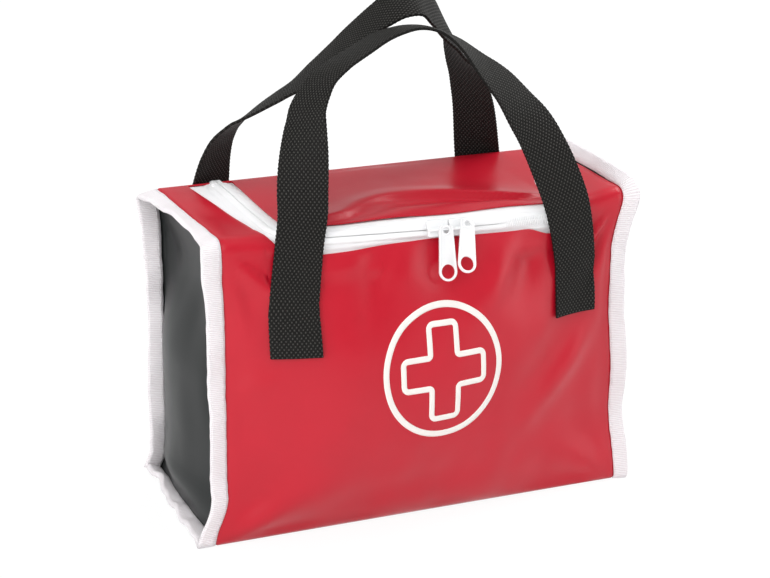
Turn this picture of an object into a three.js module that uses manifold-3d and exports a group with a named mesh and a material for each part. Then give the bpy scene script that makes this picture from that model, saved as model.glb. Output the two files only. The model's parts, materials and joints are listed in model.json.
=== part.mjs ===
import * as THREE from "three";
import { mergeVertices } from "three/addons/utils/BufferGeometryUtils.js";
import Module from "manifold-3d";

// Toy doctor case: a soft zipped bag with two webbing handles. Millimetres, +Z up, front towards -Y.

// Case body, between its side seams and over its flat faces
const caseWidth = 225;
const caseDepth = 94;
const caseHeight = 160;
const topEdgeRadius = 6;
const frontBulge = 24;
const backBulge = 24;
const bulgeLowerShare = 0.5;
const fabricThickness = 1;
const sideFabricThickness = 0.8;
const sideInwardSag = 8;

// Gap kept between pieces that touch, and the overrun of parts that are joined
const touchGap = 0.3;
const joinOverrun = 0.2;

// Bound side seams, which stand out to the left and right
const finWidth = 9.5;
const bindingThickness = 0.6;
const seamStepStart = -0.2;
const seamStepRun = 1;
const bindingStart = 1;

// Zip round three sides of the top
const zipSideInset = 30.5;
const zipFrontRise = 1;
const zipCornerRadius = 14;
const zipRearMargin = 2;
const zipBodyReach = 7.5;
const zipLidReach = 8.5;
const tapeThickness = 0.6;
const tapeLap = 4;
const tapeInnerEdge = 1.6;
const coilInnerEdge = 0.8;
const coilWidth = 2.2;
const coilHeight = 2;
const stopLength = 3.5;
const stopWidth = 3;
const stopHeight = 2.2;

// Sliders and pulls
const leftSliderX = 3;
const rightSliderX = 15;
const sliderLength = 11.5;
const sliderBagReach = 4.4;
const sliderLidReach = 0.7;
const sliderPlateThickness = 1.1;
const sliderOuterRise = 1.6;
const sliderInnerDrop = 3.2;
const sliderWebWidth = 0.8;
const sliderWebLength = 3;
const bridgeDiameter = 1.6;
const bridgePostLength = 1.4;
const eyeDiameter = 3.4;
const eyeClearance = 0.3;
const eyeWidth = 5;
const pullLength = 26;
const pullTopWidth = 7.4;
const pullEndWidth = 10;
const pullHoleDiameter = 7.2;
const pullThickness = 1.4;
const pullRestTilt = 19;

// Webbing handles
const webbingWidth = 25;
const webbingThickness = 1.6;
const handleInset = 35.5;
const stitchedLowerHeight = 101;
const stitchedUpperHeight = 124;
const frontCrestRise = 91.5;
const backCrestRise = 98;
const handleGatherOffset = 13;
const handleEdgeDrop = 5;
const handleEdgeOffset = 4.2;
const legStandoff = 1.4;

// Handle routes seen from the front: across as shares of a foot's distance from the middle,
// and up as shares of the rise from the feet to the crest
const frontHandleShares = [
  [-1, 0],
  [-0.916, 0.226],
  [-0.864, 0.406],
  [-0.818, 0.587],
  [-0.766, 0.712],
  [-0.66, 0.808],
  [-0.47, 0.872],
  [-0.24, 0.942],
  [-0.03, 0.98],
  [0.136, 1],
  [0.3, 0.975],
  [0.46, 0.89],
  [0.62, 0.755],
  [0.76, 0.6],
  [0.88, 0.43],
  [0.97, 0.26],
  [1, 0.12],
  [1, 0],
];
const backHandleShares = [
  [-1, 0],
  [-1.03, 0.15],
  [-1.05, 0.3],
  [-1.02, 0.42],
  [-0.92, 0.505],
  [-0.75, 0.58],
  [-0.56, 0.645],
  [-0.41, 0.73],
  [-0.25, 0.84],
  [-0.08, 0.94],
  [0.12, 0.995],
  [0.3, 0.985],
  [0.47, 0.9],
  [0.62, 0.78],
  [0.7, 0.66],
  [0.77, 0.53],
  [0.85, 0.4],
  [0.93, 0.26],
  [0.98, 0.12],
  [1, 0],
];

// Where each leg's webbing starts and ends its quarter turn, as shares of the rise
const frontTurnShares = [
  [0.52, 0.9],
  [0.48, 0.95],
];
const backTurnShares = [
  [0.28, 0.66],
  [0.5, 0.95],
];

// Printed emblem on the front
const emblemHeight = 87;
const emblemRingDiameter = 70;
const emblemRingLine = 3.3;
const emblemCrossGap = 5.35;
const emblemArmWidth = 18.4;
const emblemCrossLine = 3;
const filmThickness = 0.3;

// Fineness of the bent surfaces, in counts
const panelColumns = 14;
const panelRows = 14;
const edgeSteps = 6;
const cornerSteps = 7;
const frontRunSteps = 12;
const tapeSteps = 5;
const handleSteps = 44;
const ringSteps = 60;
const crossEdgeSteps = 5;
const lidColumns = 10;
const lidRows = 6;
const lidCornerColumns = 4;
const stripColumns = 4;
const sidePanelColumns = 12;
const sidePanelRows = 14;
const sideCornerColumns = 3;
const coilPoints = 8;
const barSegments = 12;
const eyeSegments = 16;
const pullSegments = 12;

// Worked out from the sizes above
const halfWidth = caseWidth / 2;
const halfDepth = caseDepth / 2;
const flatHeight = caseHeight - topEdgeRadius;
const flatDepth = caseDepth - 2 * topEdgeRadius;
const edgeLength = (Math.PI / 2) * topEdgeRadius;
const frontEdgeStart = flatHeight;
const topStart = frontEdgeStart + edgeLength;
const topEnd = topStart + flatDepth;
const backStart = topEnd + edgeLength;
const wrapLength = backStart + flatHeight;
const seamDrop = bindingThickness + touchGap;
const flangeOuter = seamDrop + fabricThickness + touchGap;
const flangeInner = flangeOuter + sideFabricThickness;
const bindingInner = flangeInner + touchGap + bindingThickness;
const layerReach = finWidth - bindingThickness - touchGap;
const zipX = halfWidth - zipSideInset;
const zipU = frontEdgeStart + zipFrontRise;
const zipCornerX = zipX - zipCornerRadius;
const zipCornerU = zipU + zipCornerRadius;
const hingeGap = touchGap / 2;
const tapeOuter = fabricThickness + touchGap;
const tapeInner = tapeOuter + tapeThickness;
const handleX = halfWidth - handleInset;

const wasm = await Module();
wasm.setup();

// Red coated fabric, dark side fabric, white trims, black webbing
const red = { color: 0xc5303d, roughness: 0.42, metalness: 0 };
const dark = { color: 0x3b3d3d, roughness: 0.45, metalness: 0 };
const white = { color: 0xf2f0f0, roughness: 0.75, metalness: 0 };
const plastic = { color: 0xf4f3f2, roughness: 0.35, metalness: 0 };
const painted = { color: 0xe9e9e8, roughness: 0.35, metalness: 0.2 };
const black = { color: 0x1b1b1a, roughness: 0.7, metalness: 0 };
const ink = { color: 0xf5efeb, roughness: 0.5, metalness: 0 };

function clamp01(value) {
  return Math.min(1, Math.max(0, value));
}

function smooth(value) {
  const t = clamp01(value);
  return t * t * (3 - 2 * t);
}

function lerp(from, to, share) {
  return from + (to - from) * share;
}

// How far the front or back face is pushed out at x and at a height
function bulgeAt(x, height, most) {
  const up = clamp01(height / caseHeight);
  const across = clamp01(1 - (x / halfWidth) ** 2);
  const lower = 1 + bulgeLowerShare * (0.5 - up);
  return most * 4 * up * (1 - up) * lower * across;
}

// A point of the outer surface: x across, u along the fabric from the front's foot, over the top
// and down the back, and n outwards
function wrap(x, u, n) {
  const frontAxis = -(halfDepth - topEdgeRadius);
  if (u <= frontEdgeStart) {
    return new THREE.Vector3(x, -halfDepth - n - bulgeAt(x, u, frontBulge), u);
  }
  if (u < topStart) {
    const angle = (u - frontEdgeStart) / topEdgeRadius;
    const rise = flatHeight + topEdgeRadius * Math.sin(angle);
    const y = frontAxis - (topEdgeRadius + n) * Math.cos(angle);
    const z = flatHeight + (topEdgeRadius + n) * Math.sin(angle);
    return new THREE.Vector3(x, y - bulgeAt(x, rise, frontBulge), z);
  }
  if (u <= topEnd) {
    return new THREE.Vector3(x, frontAxis + (u - topStart), caseHeight + n);
  }
  if (u < backStart) {
    const angle = (u - topEnd) / topEdgeRadius;
    const rise = flatHeight + topEdgeRadius * Math.cos(angle);
    const y = -frontAxis + (topEdgeRadius + n) * Math.sin(angle);
    const z = flatHeight + (topEdgeRadius + n) * Math.cos(angle);
    return new THREE.Vector3(x, y + bulgeAt(x, rise, backBulge), z);
  }
  const height = flatHeight - (u - backStart);
  return new THREE.Vector3(x, halfDepth + n + bulgeAt(x, height, backBulge), height);
}

// How far the fabric steps in under the binding
function stepIn(x) {
  return seamDrop * clamp01((Math.abs(x) - halfWidth - seamStepStart) / seamStepRun);
}

// Evenly spaced stops from one value to another
function stops(from, to, count) {
  return Array.from({ length: count + 1 }, (_, i) => lerp(from, to, i / count));
}

// Joins lists of stops and drops repeats
function joinStops(...lists) {
  const all = lists.flat().sort((a, b) => a - b);
  return all.filter((value, i) => i === 0 || value - all[i - 1] > touchGap / 10);
}

// Turns a closed geometry's faces outwards
function facingOut(geometry) {
  const merged = mergeVertices(geometry, 1e-4);
  const at = merged.attributes.position;
  const index = merged.index.array;
  const corner = (i) => new THREE.Vector3().fromBufferAttribute(at, index[i]);
  let volume = 0;
  for (let i = 0; i < index.length; i += 3) {
    volume += corner(i).dot(corner(i + 1).cross(corner(i + 2)));
  }
  if (volume < 0) {
    for (let i = 0; i < index.length; i += 3) {
      [index[i + 1], index[i + 2]] = [index[i + 2], index[i + 1]];
    }
  }
  merged.computeVertexNormals();
  return merged;
}

// Moves each vertex of a geometry and keeps only its positions
function bent(geometry, place) {
  const at = geometry.attributes.position;
  const points = [];
  for (let i = 0; i < at.count; i += 1) {
    const point = place(at.getX(i), at.getY(i), at.getZ(i), i);
    points.push(point.x, point.y, point.z);
  }
  const made = new THREE.BufferGeometry();
  made.setAttribute("position", new THREE.Float32BufferAttribute(points, 3));
  made.setIndex(geometry.index ? Array.from(geometry.index.array) : null);
  return facingOut(made);
}

// A sheet bent from a box: place gets the column, the row and 0 or 1 for its inner or outer face
function bentSheet(columns, rows, place) {
  const box = new THREE.BoxGeometry(1, 1, 1, columns, rows, 1);
  const half = 0.5;
  return bent(box, (x, y, z) => {
    return place(Math.round((x + half) * columns), Math.round((y + half) * rows), z + half);
  });
}

// A bar bent from an extruded outline: place gets the outline's two coordinates and the station
function bentBar(outline, stations, place) {
  const bar = new THREE.ExtrudeGeometry(outline, {
    depth: stations,
    steps: stations,
    bevelEnabled: false,
  });
  return bent(bar, (x, y, z) => place(x, y, Math.round(z)));
}

// A closed band of rectangular section: place gets the station and the corner, 0 to 3
function closedBand(stations, place) {
  const corners = [
    new THREE.Vector2(1, 0),
    new THREE.Vector2(2, 0),
    new THREE.Vector2(2, 1),
    new THREE.Vector2(1, 1),
    new THREE.Vector2(1, 0),
  ];
  const band = new THREE.LatheGeometry(corners, stations);
  const uv = band.attributes.uv;
  return bent(band, (x, y, z, i) => {
    const station = Math.round(uv.getX(i) * stations) % stations;
    const corner = Math.round(uv.getY(i) * 4) % 4;
    return place(station, corner);
  });
}

function solidOf(geometry) {
  const merged = facingOut(geometry);
  return new wasm.Manifold(
    new wasm.Mesh({
      numProp: 3,
      vertProperties: merged.attributes.position.array,
      triVerts: new Uint32Array(merged.index.array),
    }),
  );
}

function positionsOf(geometry) {
  const made = new THREE.BufferGeometry();
  made.setAttribute("position", geometry.attributes.position);
  made.setIndex(geometry.index);
  return made;
}

// Joins closed geometries into one
function joined(...geometries) {
  const solids = geometries.map((geometry) => solidOf(positionsOf(geometry)));
  const mesh = solids.reduce((sum, solid) => sum.add(solid)).getMesh();
  const made = new THREE.BufferGeometry();
  made.setAttribute("position", new THREE.Float32BufferAttribute(mesh.vertProperties, 3));
  made.setIndex(Array.from(mesh.triVerts));
  made.computeVertexNormals();
  return made;
}

const caseGroup = new THREE.Group();

function addPiece(name, geometry, look, parent = caseGroup) {
  const mesh = new THREE.Mesh(geometry, new THREE.MeshStandardMaterial(look));
  mesh.name = name;
  parent.add(mesh);
  return mesh;
}

// Column stops across the whole fabric, with the seam's step and the layer's end on both sides
function fabricColumns(extra = []) {
  const stepStart = halfWidth + seamStepStart;
  const sides = [stepStart, stepStart + seamStepRun, halfWidth + layerReach];
  const all = extra.concat(sides);
  return joinStops(stops(-halfWidth, halfWidth, panelColumns), all, all.map((x) => -x));
}

// Top edge of the front panel, which leaves room for the zip
function frontPanelTop(x) {
  const past = Math.abs(x) - zipCornerX;
  const reach = zipCornerRadius + zipBodyReach;
  const highest = frontEdgeStart - touchGap;
  if (past <= 0) {
    return zipU - zipBodyReach;
  }
  if (past >= reach) {
    return highest;
  }
  return Math.min(highest, zipCornerU - Math.sqrt(reach ** 2 - past ** 2));
}

function addFrontPanel() {
  const reach = zipCornerRadius + zipBodyReach;
  const drop = zipCornerU - frontEdgeStart + touchGap;
  const arcEnd = zipCornerX + Math.sqrt(reach ** 2 - drop ** 2);
  const xs = fabricColumns(stops(zipCornerX, arcEnd, lidCornerColumns));
  const sheet = bentSheet(xs.length - 1, panelRows, (i, j, side) => {
    const u = (frontPanelTop(xs[i]) * j) / panelRows;
    return wrap(xs[i], u, (side - 1) * fabricThickness - stepIn(xs[i]));
  });
  addPiece("front_panel", sheet, red);
}

function addBackPanel() {
  const xs = fabricColumns();
  const us = joinStops(
    stops(topEnd + hingeGap, backStart, edgeSteps),
    stops(backStart, wrapLength, panelRows),
  );
  const sheet = bentSheet(xs.length - 1, us.length - 1, (i, j, side) => {
    return wrap(xs[i], us[j], (side - 1) * fabricThickness - stepIn(xs[i]));
  });
  addPiece("back_panel", sheet, red);
}

function addBottomPanel() {
  const xs = fabricColumns();
  const sheet = bentSheet(xs.length - 1, 1, (i, j, side) => {
    const inner = halfDepth - fabricThickness - touchGap;
    const y = (inner - stepIn(xs[i])) * (2 * j - 1);
    return new THREE.Vector3(xs[i], y, stepIn(xs[i]) + side * fabricThickness);
  });
  addPiece("bottom_panel", sheet, red);
}

// Red fabric between the zip and the side seam, over the top's front edge and back to the hinge
function addTopStrip(name, hand) {
  const reach = zipCornerRadius + zipBodyReach;
  const us = joinStops(
    stops(frontEdgeStart, topStart, edgeSteps),
    [lerp(topStart, zipCornerU, 0.5)],
    stops(zipCornerU, topEnd - hingeGap, 2),
  );
  const stepStart = halfWidth + seamStepStart;
  const outer = [stepStart, stepStart + seamStepRun, halfWidth + layerReach];
  const columns = stripColumns;
  const sheet = bentSheet(columns + 2, us.length - 1, (i, j, side) => {
    const past = Math.max(0, zipCornerU - us[j]);
    const innerEdge = zipCornerX + Math.sqrt(reach ** 2 - past ** 2);
    const x = i < columns ? lerp(innerEdge, outer[0], i / columns) : outer[i - columns];
    return wrap(hand * x, us[j], (side - 1) * fabricThickness - stepIn(x));
  });
  addPiece(name, sheet, red);
}

function addLidPanel() {
  const reach = zipCornerRadius - zipLidReach;
  const xs = joinStops(
    stops(-zipCornerX, zipCornerX, lidColumns),
    stops(zipCornerX, zipCornerX + reach, lidCornerColumns),
    stops(-zipCornerX - reach, -zipCornerX, lidCornerColumns),
  );
  const rows = lidRows;
  const sheet = bentSheet(xs.length - 1, rows, (i, j, side) => {
    const past = Math.max(0, Math.abs(xs[i]) - zipCornerX);
    const front = zipCornerU - Math.sqrt(Math.max(0, reach ** 2 - past ** 2));
    const u = lerp(front, topEnd - hingeGap, j / rows);
    return wrap(xs[i], u, (side - 1) * fabricThickness);
  });
  addPiece("lid_panel", sheet, red);
}

// Dark side panel: a sagging sheet whose edge turns outwards into the bound seam
function addSidePanel(name, hand) {
  const innerX = halfWidth + seamStepStart - sideFabricThickness;
  const rim = halfDepth - flangeOuter;
  const top = caseHeight - flangeOuter;
  const radius = topEdgeRadius - flangeOuter;
  const middle = (flangeOuter + flangeInner) / 2;
  const reach = halfDepth - middle;
  const columns = sidePanelColumns;
  const rows = sidePanelRows;
  const corners = stops(0, 1, sideCornerColumns).map((share) => rim - radius + radius * share);
  const ys = joinStops(stops(-(rim - radius), rim - radius, columns), corners, corners.map((y) => -y));
  const sheet = bentSheet(ys.length - 1, rows, (i, j, side) => {
    const y = clampAbs(ys[i], reach);
    const past = Math.max(0, Math.abs(y) - (rim - radius));
    const roof = top - radius + Math.sqrt(Math.max(0, radius ** 2 - past ** 2));
    const z = lerp(middle, Math.min(roof, caseHeight - middle), j / rows);
    const up = clamp01(z / caseHeight);
    const sag = sideInwardSag * 4 * up * (1 - up) * (1 - (y / reach) ** 2);
    return new THREE.Vector3(hand * (innerX - sag + side * sideFabricThickness), y, z);
  });
  const flange = sideFlange(innerX, rim, top, radius, hand);
  addPiece(name, joined(sheet, flange), dark);
}

function clampAbs(value, most) {
  return Math.max(-most, Math.min(most, value));
}

// Closed outline of the case's side, drawn in by an offset and rounded at its top corners
function sideOutline(rim, foot, top, radius) {
  const shape = new THREE.Shape();
  shape.moveTo(-rim, foot);
  shape.lineTo(rim, foot);
  shape.lineTo(rim, top - radius);
  shape.absarc(rim - radius, top - radius, radius, 0, Math.PI / 2, false);
  shape.lineTo(-(rim - radius), top);
  shape.absarc(-(rim - radius), top - radius, radius, Math.PI / 2, Math.PI, false);
  shape.closePath();
  return shape;
}

function sideFlange(innerX, rim, top, radius, hand) {
  const shape = sideOutline(rim, flangeOuter, top, radius);
  const t = sideFabricThickness;
  shape.holes.push(sideOutline(rim - t, flangeOuter + t, top - t, radius - t));
  const length = halfWidth + layerReach - innerX;
  const ring = new THREE.ExtrudeGeometry(shape, {
    depth: length,
    steps: 1,
    bevelEnabled: false,
    curveSegments: edgeSteps,
  });
  return bent(ring, (x, y, z) => new THREE.Vector3(hand * (innerX + z), x, y));
}

// Section of the folded binding: across the fin and outwards
function bindingSection() {
  const t = bindingThickness;
  const shape = new THREE.Shape();
  shape.moveTo(bindingStart, 0);
  shape.lineTo(bindingStart, -t);
  shape.lineTo(finWidth - t, -t);
  shape.lineTo(finWidth - t, t - bindingInner);
  shape.lineTo(bindingStart, t - bindingInner);
  shape.lineTo(bindingStart, -bindingInner);
  shape.lineTo(finWidth, -bindingInner);
  shape.lineTo(finWidth, 0);
  shape.closePath();
  return shape;
}

function addBindings(side, hand) {
  const section = bindingSection();
  const foot = bindingInner + touchGap;
  const fin = (s) => hand * (halfWidth + s);
  const strip = (us) => {
    return bentBar(section, us.length - 1, (s, n, k) => wrap(fin(s), us[k], n));
  };
  const frontStops = [foot, frontEdgeStart - touchGap];
  const topStops = joinStops(
    stops(frontEdgeStart, topStart, edgeSteps),
    stops(topEnd, backStart, edgeSteps),
  );
  const backStops = [backStart + touchGap, wrapLength - foot];
  addPiece(side + "_binding_front", strip(frontStops), white);
  addPiece(side + "_binding_top", strip(topStops), white);
  addPiece(side + "_binding_back", strip(backStops), white);
  const reach = halfDepth - foot;
  const bottom = bentBar(section, 1, (s, n, k) => {
    return new THREE.Vector3(fin(s), lerp(-reach, reach, k), -n);
  });
  addPiece(side + "_binding_bottom", bottom, white);
}

// Stations of the zip's middle line, from the right rear round the front to the left rear:
// x and u on the fabric, and the outward direction across the zip
function zipStations(rearU) {
  const list = [];
  const corner = (hand, share) => {
    const angle = (share * Math.PI) / 2;
    list.push({
      x: hand * (zipCornerX + zipCornerRadius * Math.cos(angle)),
      u: zipCornerU - zipCornerRadius * Math.sin(angle),
      ox: hand * Math.cos(angle),
      ou: -Math.sin(angle),
    });
  };
  const side = (hand, u) => list.push({ x: hand * zipX, u, ox: hand, ou: 0 });
  side(1, rearU);
  stops(0, 1, cornerSteps).forEach((share) => corner(1, share));
  stops(zipCornerX, -zipCornerX, frontRunSteps).slice(1, -1).forEach((x) => {
    list.push({ x, u: zipU, ox: 0, ou: -1 });
  });
  stops(1, 0, cornerSteps).forEach((share) => corner(-1, share));
  side(-1, rearU);
  return list;
}

function zipPoint(station, across, n) {
  return wrap(station.x + station.ox * across, station.u + station.ou * across, n);
}

function addZipTape(name, hand, reach) {
  const list = zipStations(topEnd - zipRearMargin / 2);
  const sheet = bentSheet(list.length - 1, tapeSteps, (i, j, side) => {
    const across = hand * lerp(tapeInnerEdge, reach + tapeLap, j / tapeSteps);
    return zipPoint(list[i], across, side ? -tapeOuter : -tapeInner);
  });
  addPiece(name, sheet, white);
}

function addZipCoil(name, hand) {
  const list = zipStations(topEnd - zipRearMargin - stopLength - touchGap);
  const section = new THREE.Shape();
  section.absellipse(0, 0, coilWidth / 2, coilHeight / 2, 0, 2 * Math.PI, false, 0);
  const outline = new THREE.Shape(section.getPoints(coilPoints).slice(0, coilPoints));
  const middle = coilInnerEdge + coilWidth / 2;
  const bar = bentBar(outline, list.length - 1, (across, n, k) => {
    return zipPoint(list[k], hand * (middle + across), n);
  });
  addPiece(name, bar, plastic);
}

function addZipStop(name, hand) {
  const rear = topEnd - zipRearMargin;
  const box = new THREE.BoxGeometry(stopWidth, stopLength, stopHeight);
  const piece = addPiece(name, box, plastic);
  const x = zipX + coilInnerEdge + stopWidth / 2;
  const lift = stopHeight / 2 - fabricThickness;
  piece.position.copy(wrap(hand * x, rear - stopLength / 2, lift));
}

// Frame of the zip's front run at x: its position, the slide's direction, up across the zip, outwards
function zipFrame(x, farX) {
  const at = wrap(x, zipU, 0);
  const along = wrap(farX, zipU, 0).sub(at).normalize();
  if (along.x < 0) {
    along.negate();
  }
  const up = wrap(x, zipU + touchGap, 0).sub(wrap(x, zipU - touchGap, 0));
  const out = along.clone().cross(up).normalize();
  const across = out.clone().cross(along).normalize();
  return { at, matrix: new THREE.Matrix4().makeBasis(along, across, out) };
}

function boxBetween(x0, x1, y0, y1, z0, z1) {
  const box = new THREE.BoxGeometry(x1 - x0, y1 - y0, z1 - z0);
  return box.translate((x0 + x1) / 2, (y0 + y1) / 2, (z0 + z1) / 2);
}

const outerPlateTop = sliderOuterRise + sliderPlateThickness;
const bridgeHeight = outerPlateTop + touchGap + eyeDiameter / 2;

// Slider body: two plates, the wedge between the zip's halves, and the bridge that holds the pull
function sliderGeometry() {
  const half = sliderLength / 2;
  const innerBottom = -sliderInnerDrop - sliderPlateThickness;
  const outer = boxBetween(-half, half, -sliderBagReach, sliderLidReach, sliderOuterRise, outerPlateTop);
  const inner = boxBetween(-half, half, -sliderBagReach, sliderLidReach, innerBottom, -sliderInnerDrop);
  const webTop = sliderOuterRise + joinOverrun;
  const webHalf = sliderWebWidth / 2;
  const webFoot = -sliderInnerDrop - joinOverrun;
  const web = boxBetween(-sliderWebLength / 2, sliderWebLength / 2, -webHalf, webHalf, webFoot, webTop);
  const r = bridgeDiameter / 2;
  const barHalf = half - bridgePostLength / 2;
  const bar = new THREE.CylinderGeometry(r, r, 2 * barHalf, barSegments);
  bar.rotateZ(Math.PI / 2).translate(0, 0, bridgeHeight);
  const foot = outerPlateTop - joinOverrun;
  const postHalf = bridgePostLength / 2;
  const post = (x) => boxBetween(x - postHalf, x + postHalf, -r, r, foot, bridgeHeight + r);
  return joined(outer, inner, web, bar, post(-barHalf), post(barHalf));
}

// Pull: a tapered tab with a round end, its hole, and the curled eye round the bridge
function pullGeometry() {
  const endRadius = pullEndWidth / 2;
  const endY = endRadius - pullLength;
  const neckY = -(eyeDiameter - joinOverrun) / 2;
  const shape = new THREE.Shape();
  shape.moveTo(pullTopWidth / 2, neckY);
  shape.lineTo(-pullTopWidth / 2, neckY);
  shape.lineTo(-endRadius, endY);
  shape.absarc(0, endY, endRadius, Math.PI, 2 * Math.PI, false);
  shape.closePath();
  const hole = new THREE.Path();
  hole.absarc(0, endY, pullHoleDiameter / 2, 0, 2 * Math.PI, true);
  shape.holes.push(hole);
  const tab = new THREE.ExtrudeGeometry(shape, {
    depth: pullThickness,
    bevelEnabled: false,
    curveSegments: pullSegments,
  });
  tab.translate(0, 0, -pullThickness / 2);
  const bore = (bridgeDiameter + 2 * eyeClearance) / 2;
  const outer = eyeDiameter / 2;
  const ring = [
    new THREE.Vector2(bore, -eyeWidth / 2),
    new THREE.Vector2(outer, -eyeWidth / 2),
    new THREE.Vector2(outer, eyeWidth / 2),
    new THREE.Vector2(bore, eyeWidth / 2),
    new THREE.Vector2(bore, -eyeWidth / 2),
  ];
  const eye = new THREE.LatheGeometry(ring, eyeSegments).rotateZ(Math.PI / 2);
  return joined(tab, eye);
}

function addSliderAndPull(side, x, farX) {
  const frame = zipFrame(x, farX);
  const holder = new THREE.Group();
  holder.position.copy(frame.at);
  holder.quaternion.setFromRotationMatrix(frame.matrix);
  caseGroup.add(holder);
  addPiece(side + "_slider", sliderGeometry(), painted, holder);
  const out = new THREE.Vector3().setFromMatrixColumn(frame.matrix, 2);
  const along = new THREE.Vector3().setFromMatrixColumn(frame.matrix, 0);
  const tilt = THREE.MathUtils.degToRad(pullRestTilt);
  const down = new THREE.Vector3(0, -Math.sin(tilt), -Math.cos(tilt));
  const face = along.clone().cross(down.clone().negate()).normalize();
  const upward = face.clone().cross(along).normalize();
  const hanger = new THREE.Group();
  hanger.position.copy(frame.at).addScaledVector(out, bridgeHeight);
  hanger.quaternion.setFromRotationMatrix(new THREE.Matrix4().makeBasis(along, upward, face));
  caseGroup.add(hanger);
  addPiece(side + "_pull", pullGeometry(), plastic, hanger);
}

// Side view of a handle: how far out of the middle its centre line is at a height
function handleOut(height, peak) {
  const foot = stitchedUpperHeight + touchGap;
  const edge = caseHeight - handleEdgeDrop;
  const footOut = halfDepth + bulgeAt(handleX, stitchedUpperHeight, frontBulge) + legStandoff;
  const edgeOut = halfDepth + handleEdgeOffset;
  const a = ((height - edge) * (height - peak)) / ((foot - edge) * (foot - peak));
  const b = ((height - foot) * (height - peak)) / ((edge - foot) * (edge - peak));
  const c = ((height - foot) * (height - edge)) / ((peak - foot) * (peak - edge));
  return a * footOut + b * edgeOut + c * handleGatherOffset;
}

// Centre line of a handle from its left foot to its right one, leaning in over the case
function handleCurve(crestRise, shares) {
  const foot = stitchedUpperHeight + touchGap;
  const peak = caseHeight + crestRise;
  const points = shares.map(([across, up]) => {
    const z = lerp(foot, peak, up);
    return new THREE.Vector3(across * handleX, -handleOut(z, peak), z);
  });
  return new THREE.CatmullRomCurve3(points, false, "centripetal");
}

// Turn of the webbing: flat against the case at its feet, lying over at the top of the arch
function handleFrame(curve, share, crestRise, turnShares) {
  const at = curve.getPointAt(share);
  const tangent = curve.getTangentAt(share);
  const inner = bulgeAt(handleX - webbingWidth / 2, at.z, frontBulge);
  const outer = bulgeAt(handleX + webbingWidth / 2, at.z, frontBulge);
  const yaw = (Math.sign(at.x) * (inner - outer)) / webbingWidth;
  const flat = new THREE.Vector3(yaw, -1, 0);
  const facing = flat.addScaledVector(tangent, -flat.dot(tangent)).normalize();
  const outward = facing.clone().cross(tangent).normalize();
  const foot = stitchedUpperHeight + touchGap;
  const up = (at.z - foot) / (caseHeight + crestRise - foot);
  const [from, to] = share < 0.5 ? turnShares[0] : turnShares[1];
  const turn = (Math.PI / 2) * smooth((up - from) / (to - from));
  const normal = facing.multiplyScalar(Math.cos(turn)).addScaledVector(outward, Math.sin(turn));
  const across = tangent.clone().cross(normal).normalize();
  return { at, normal, across };
}

function addHandle(name, hand, crestRise, shares, turnShares) {
  const curve = handleCurve(crestRise, shares);
  const rows = 2;
  const sheet = bentSheet(handleSteps, rows, (i, j, side) => {
    const frame = handleFrame(curve, i / handleSteps, crestRise, turnShares);
    const point = frame.at.clone();
    point.addScaledVector(frame.across, webbingWidth * (j / rows - 0.5));
    point.addScaledVector(frame.normal, webbingThickness * (side - 0.5));
    point.z = Math.max(point.z, stitchedUpperHeight + touchGap);
    return new THREE.Vector3(point.x, hand * point.y, point.z);
  });
  addPiece(name, sheet, black);
}

// Stitched end of the webbing, flat on the front or back panel
function addHandleEnd(name, side, hand) {
  const columns = 4;
  const rows = 3;
  const sheet = bentSheet(columns, rows, (i, j, face) => {
    const x = side * handleX + webbingWidth * (i / columns - 0.5);
    const u = lerp(stitchedLowerHeight, stitchedUpperHeight, j / rows);
    const point = wrap(x, u, touchGap + face * webbingThickness);
    return new THREE.Vector3(point.x, hand * point.y, point.z);
  });
  addPiece(name, sheet, black);
}

// A point of the printed film, from the emblem's own middle
function filmPoint(x, z, outer) {
  return wrap(x, emblemHeight + z, touchGap + (outer ? filmThickness : 0));
}

function addEmblemRing() {
  const outer = emblemRingDiameter / 2;
  const inner = outer - emblemRingLine;
  const band = closedBand(ringSteps, (k, corner) => {
    const radius = corner === 1 || corner === 2 ? outer : inner;
    const angle = (2 * Math.PI * k) / ringSteps;
    return filmPoint(radius * Math.cos(angle), radius * Math.sin(angle), corner > 1);
  });
  addPiece("print_ring", band, ink);
}

// The twelve corners of a cross, anticlockwise from its right arm
function crossCorners(reach, half) {
  const quarter = [
    [reach, -half],
    [reach, half],
    [half, half],
  ];
  const turned = (k) => quarter.map(([x, y]) => {
    const spin = [[x, y], [-y, x], [-x, -y], [y, -x]];
    return spin[k];
  });
  return [0, 1, 2, 3].flatMap(turned);
}

function addEmblemCross() {
  const line = emblemCrossLine;
  const reach = emblemRingDiameter / 2 - emblemRingLine - emblemCrossGap;
  const outer = crossCorners(reach, emblemArmWidth / 2);
  const inner = crossCorners(reach - line, emblemArmWidth / 2 - line);
  const stations = outer.length * crossEdgeSteps;
  const band = closedBand(stations, (k, corner) => {
    const outline = corner === 1 || corner === 2 ? outer : inner;
    const edge = Math.floor(k / crossEdgeSteps);
    const from = outline[edge];
    const to = outline[(edge + 1) % outline.length];
    const share = (k % crossEdgeSteps) / crossEdgeSteps;
    return filmPoint(lerp(from[0], to[0], share), lerp(from[1], to[1], share), corner > 1);
  });
  addPiece("print_cross", band, ink);
}

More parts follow.
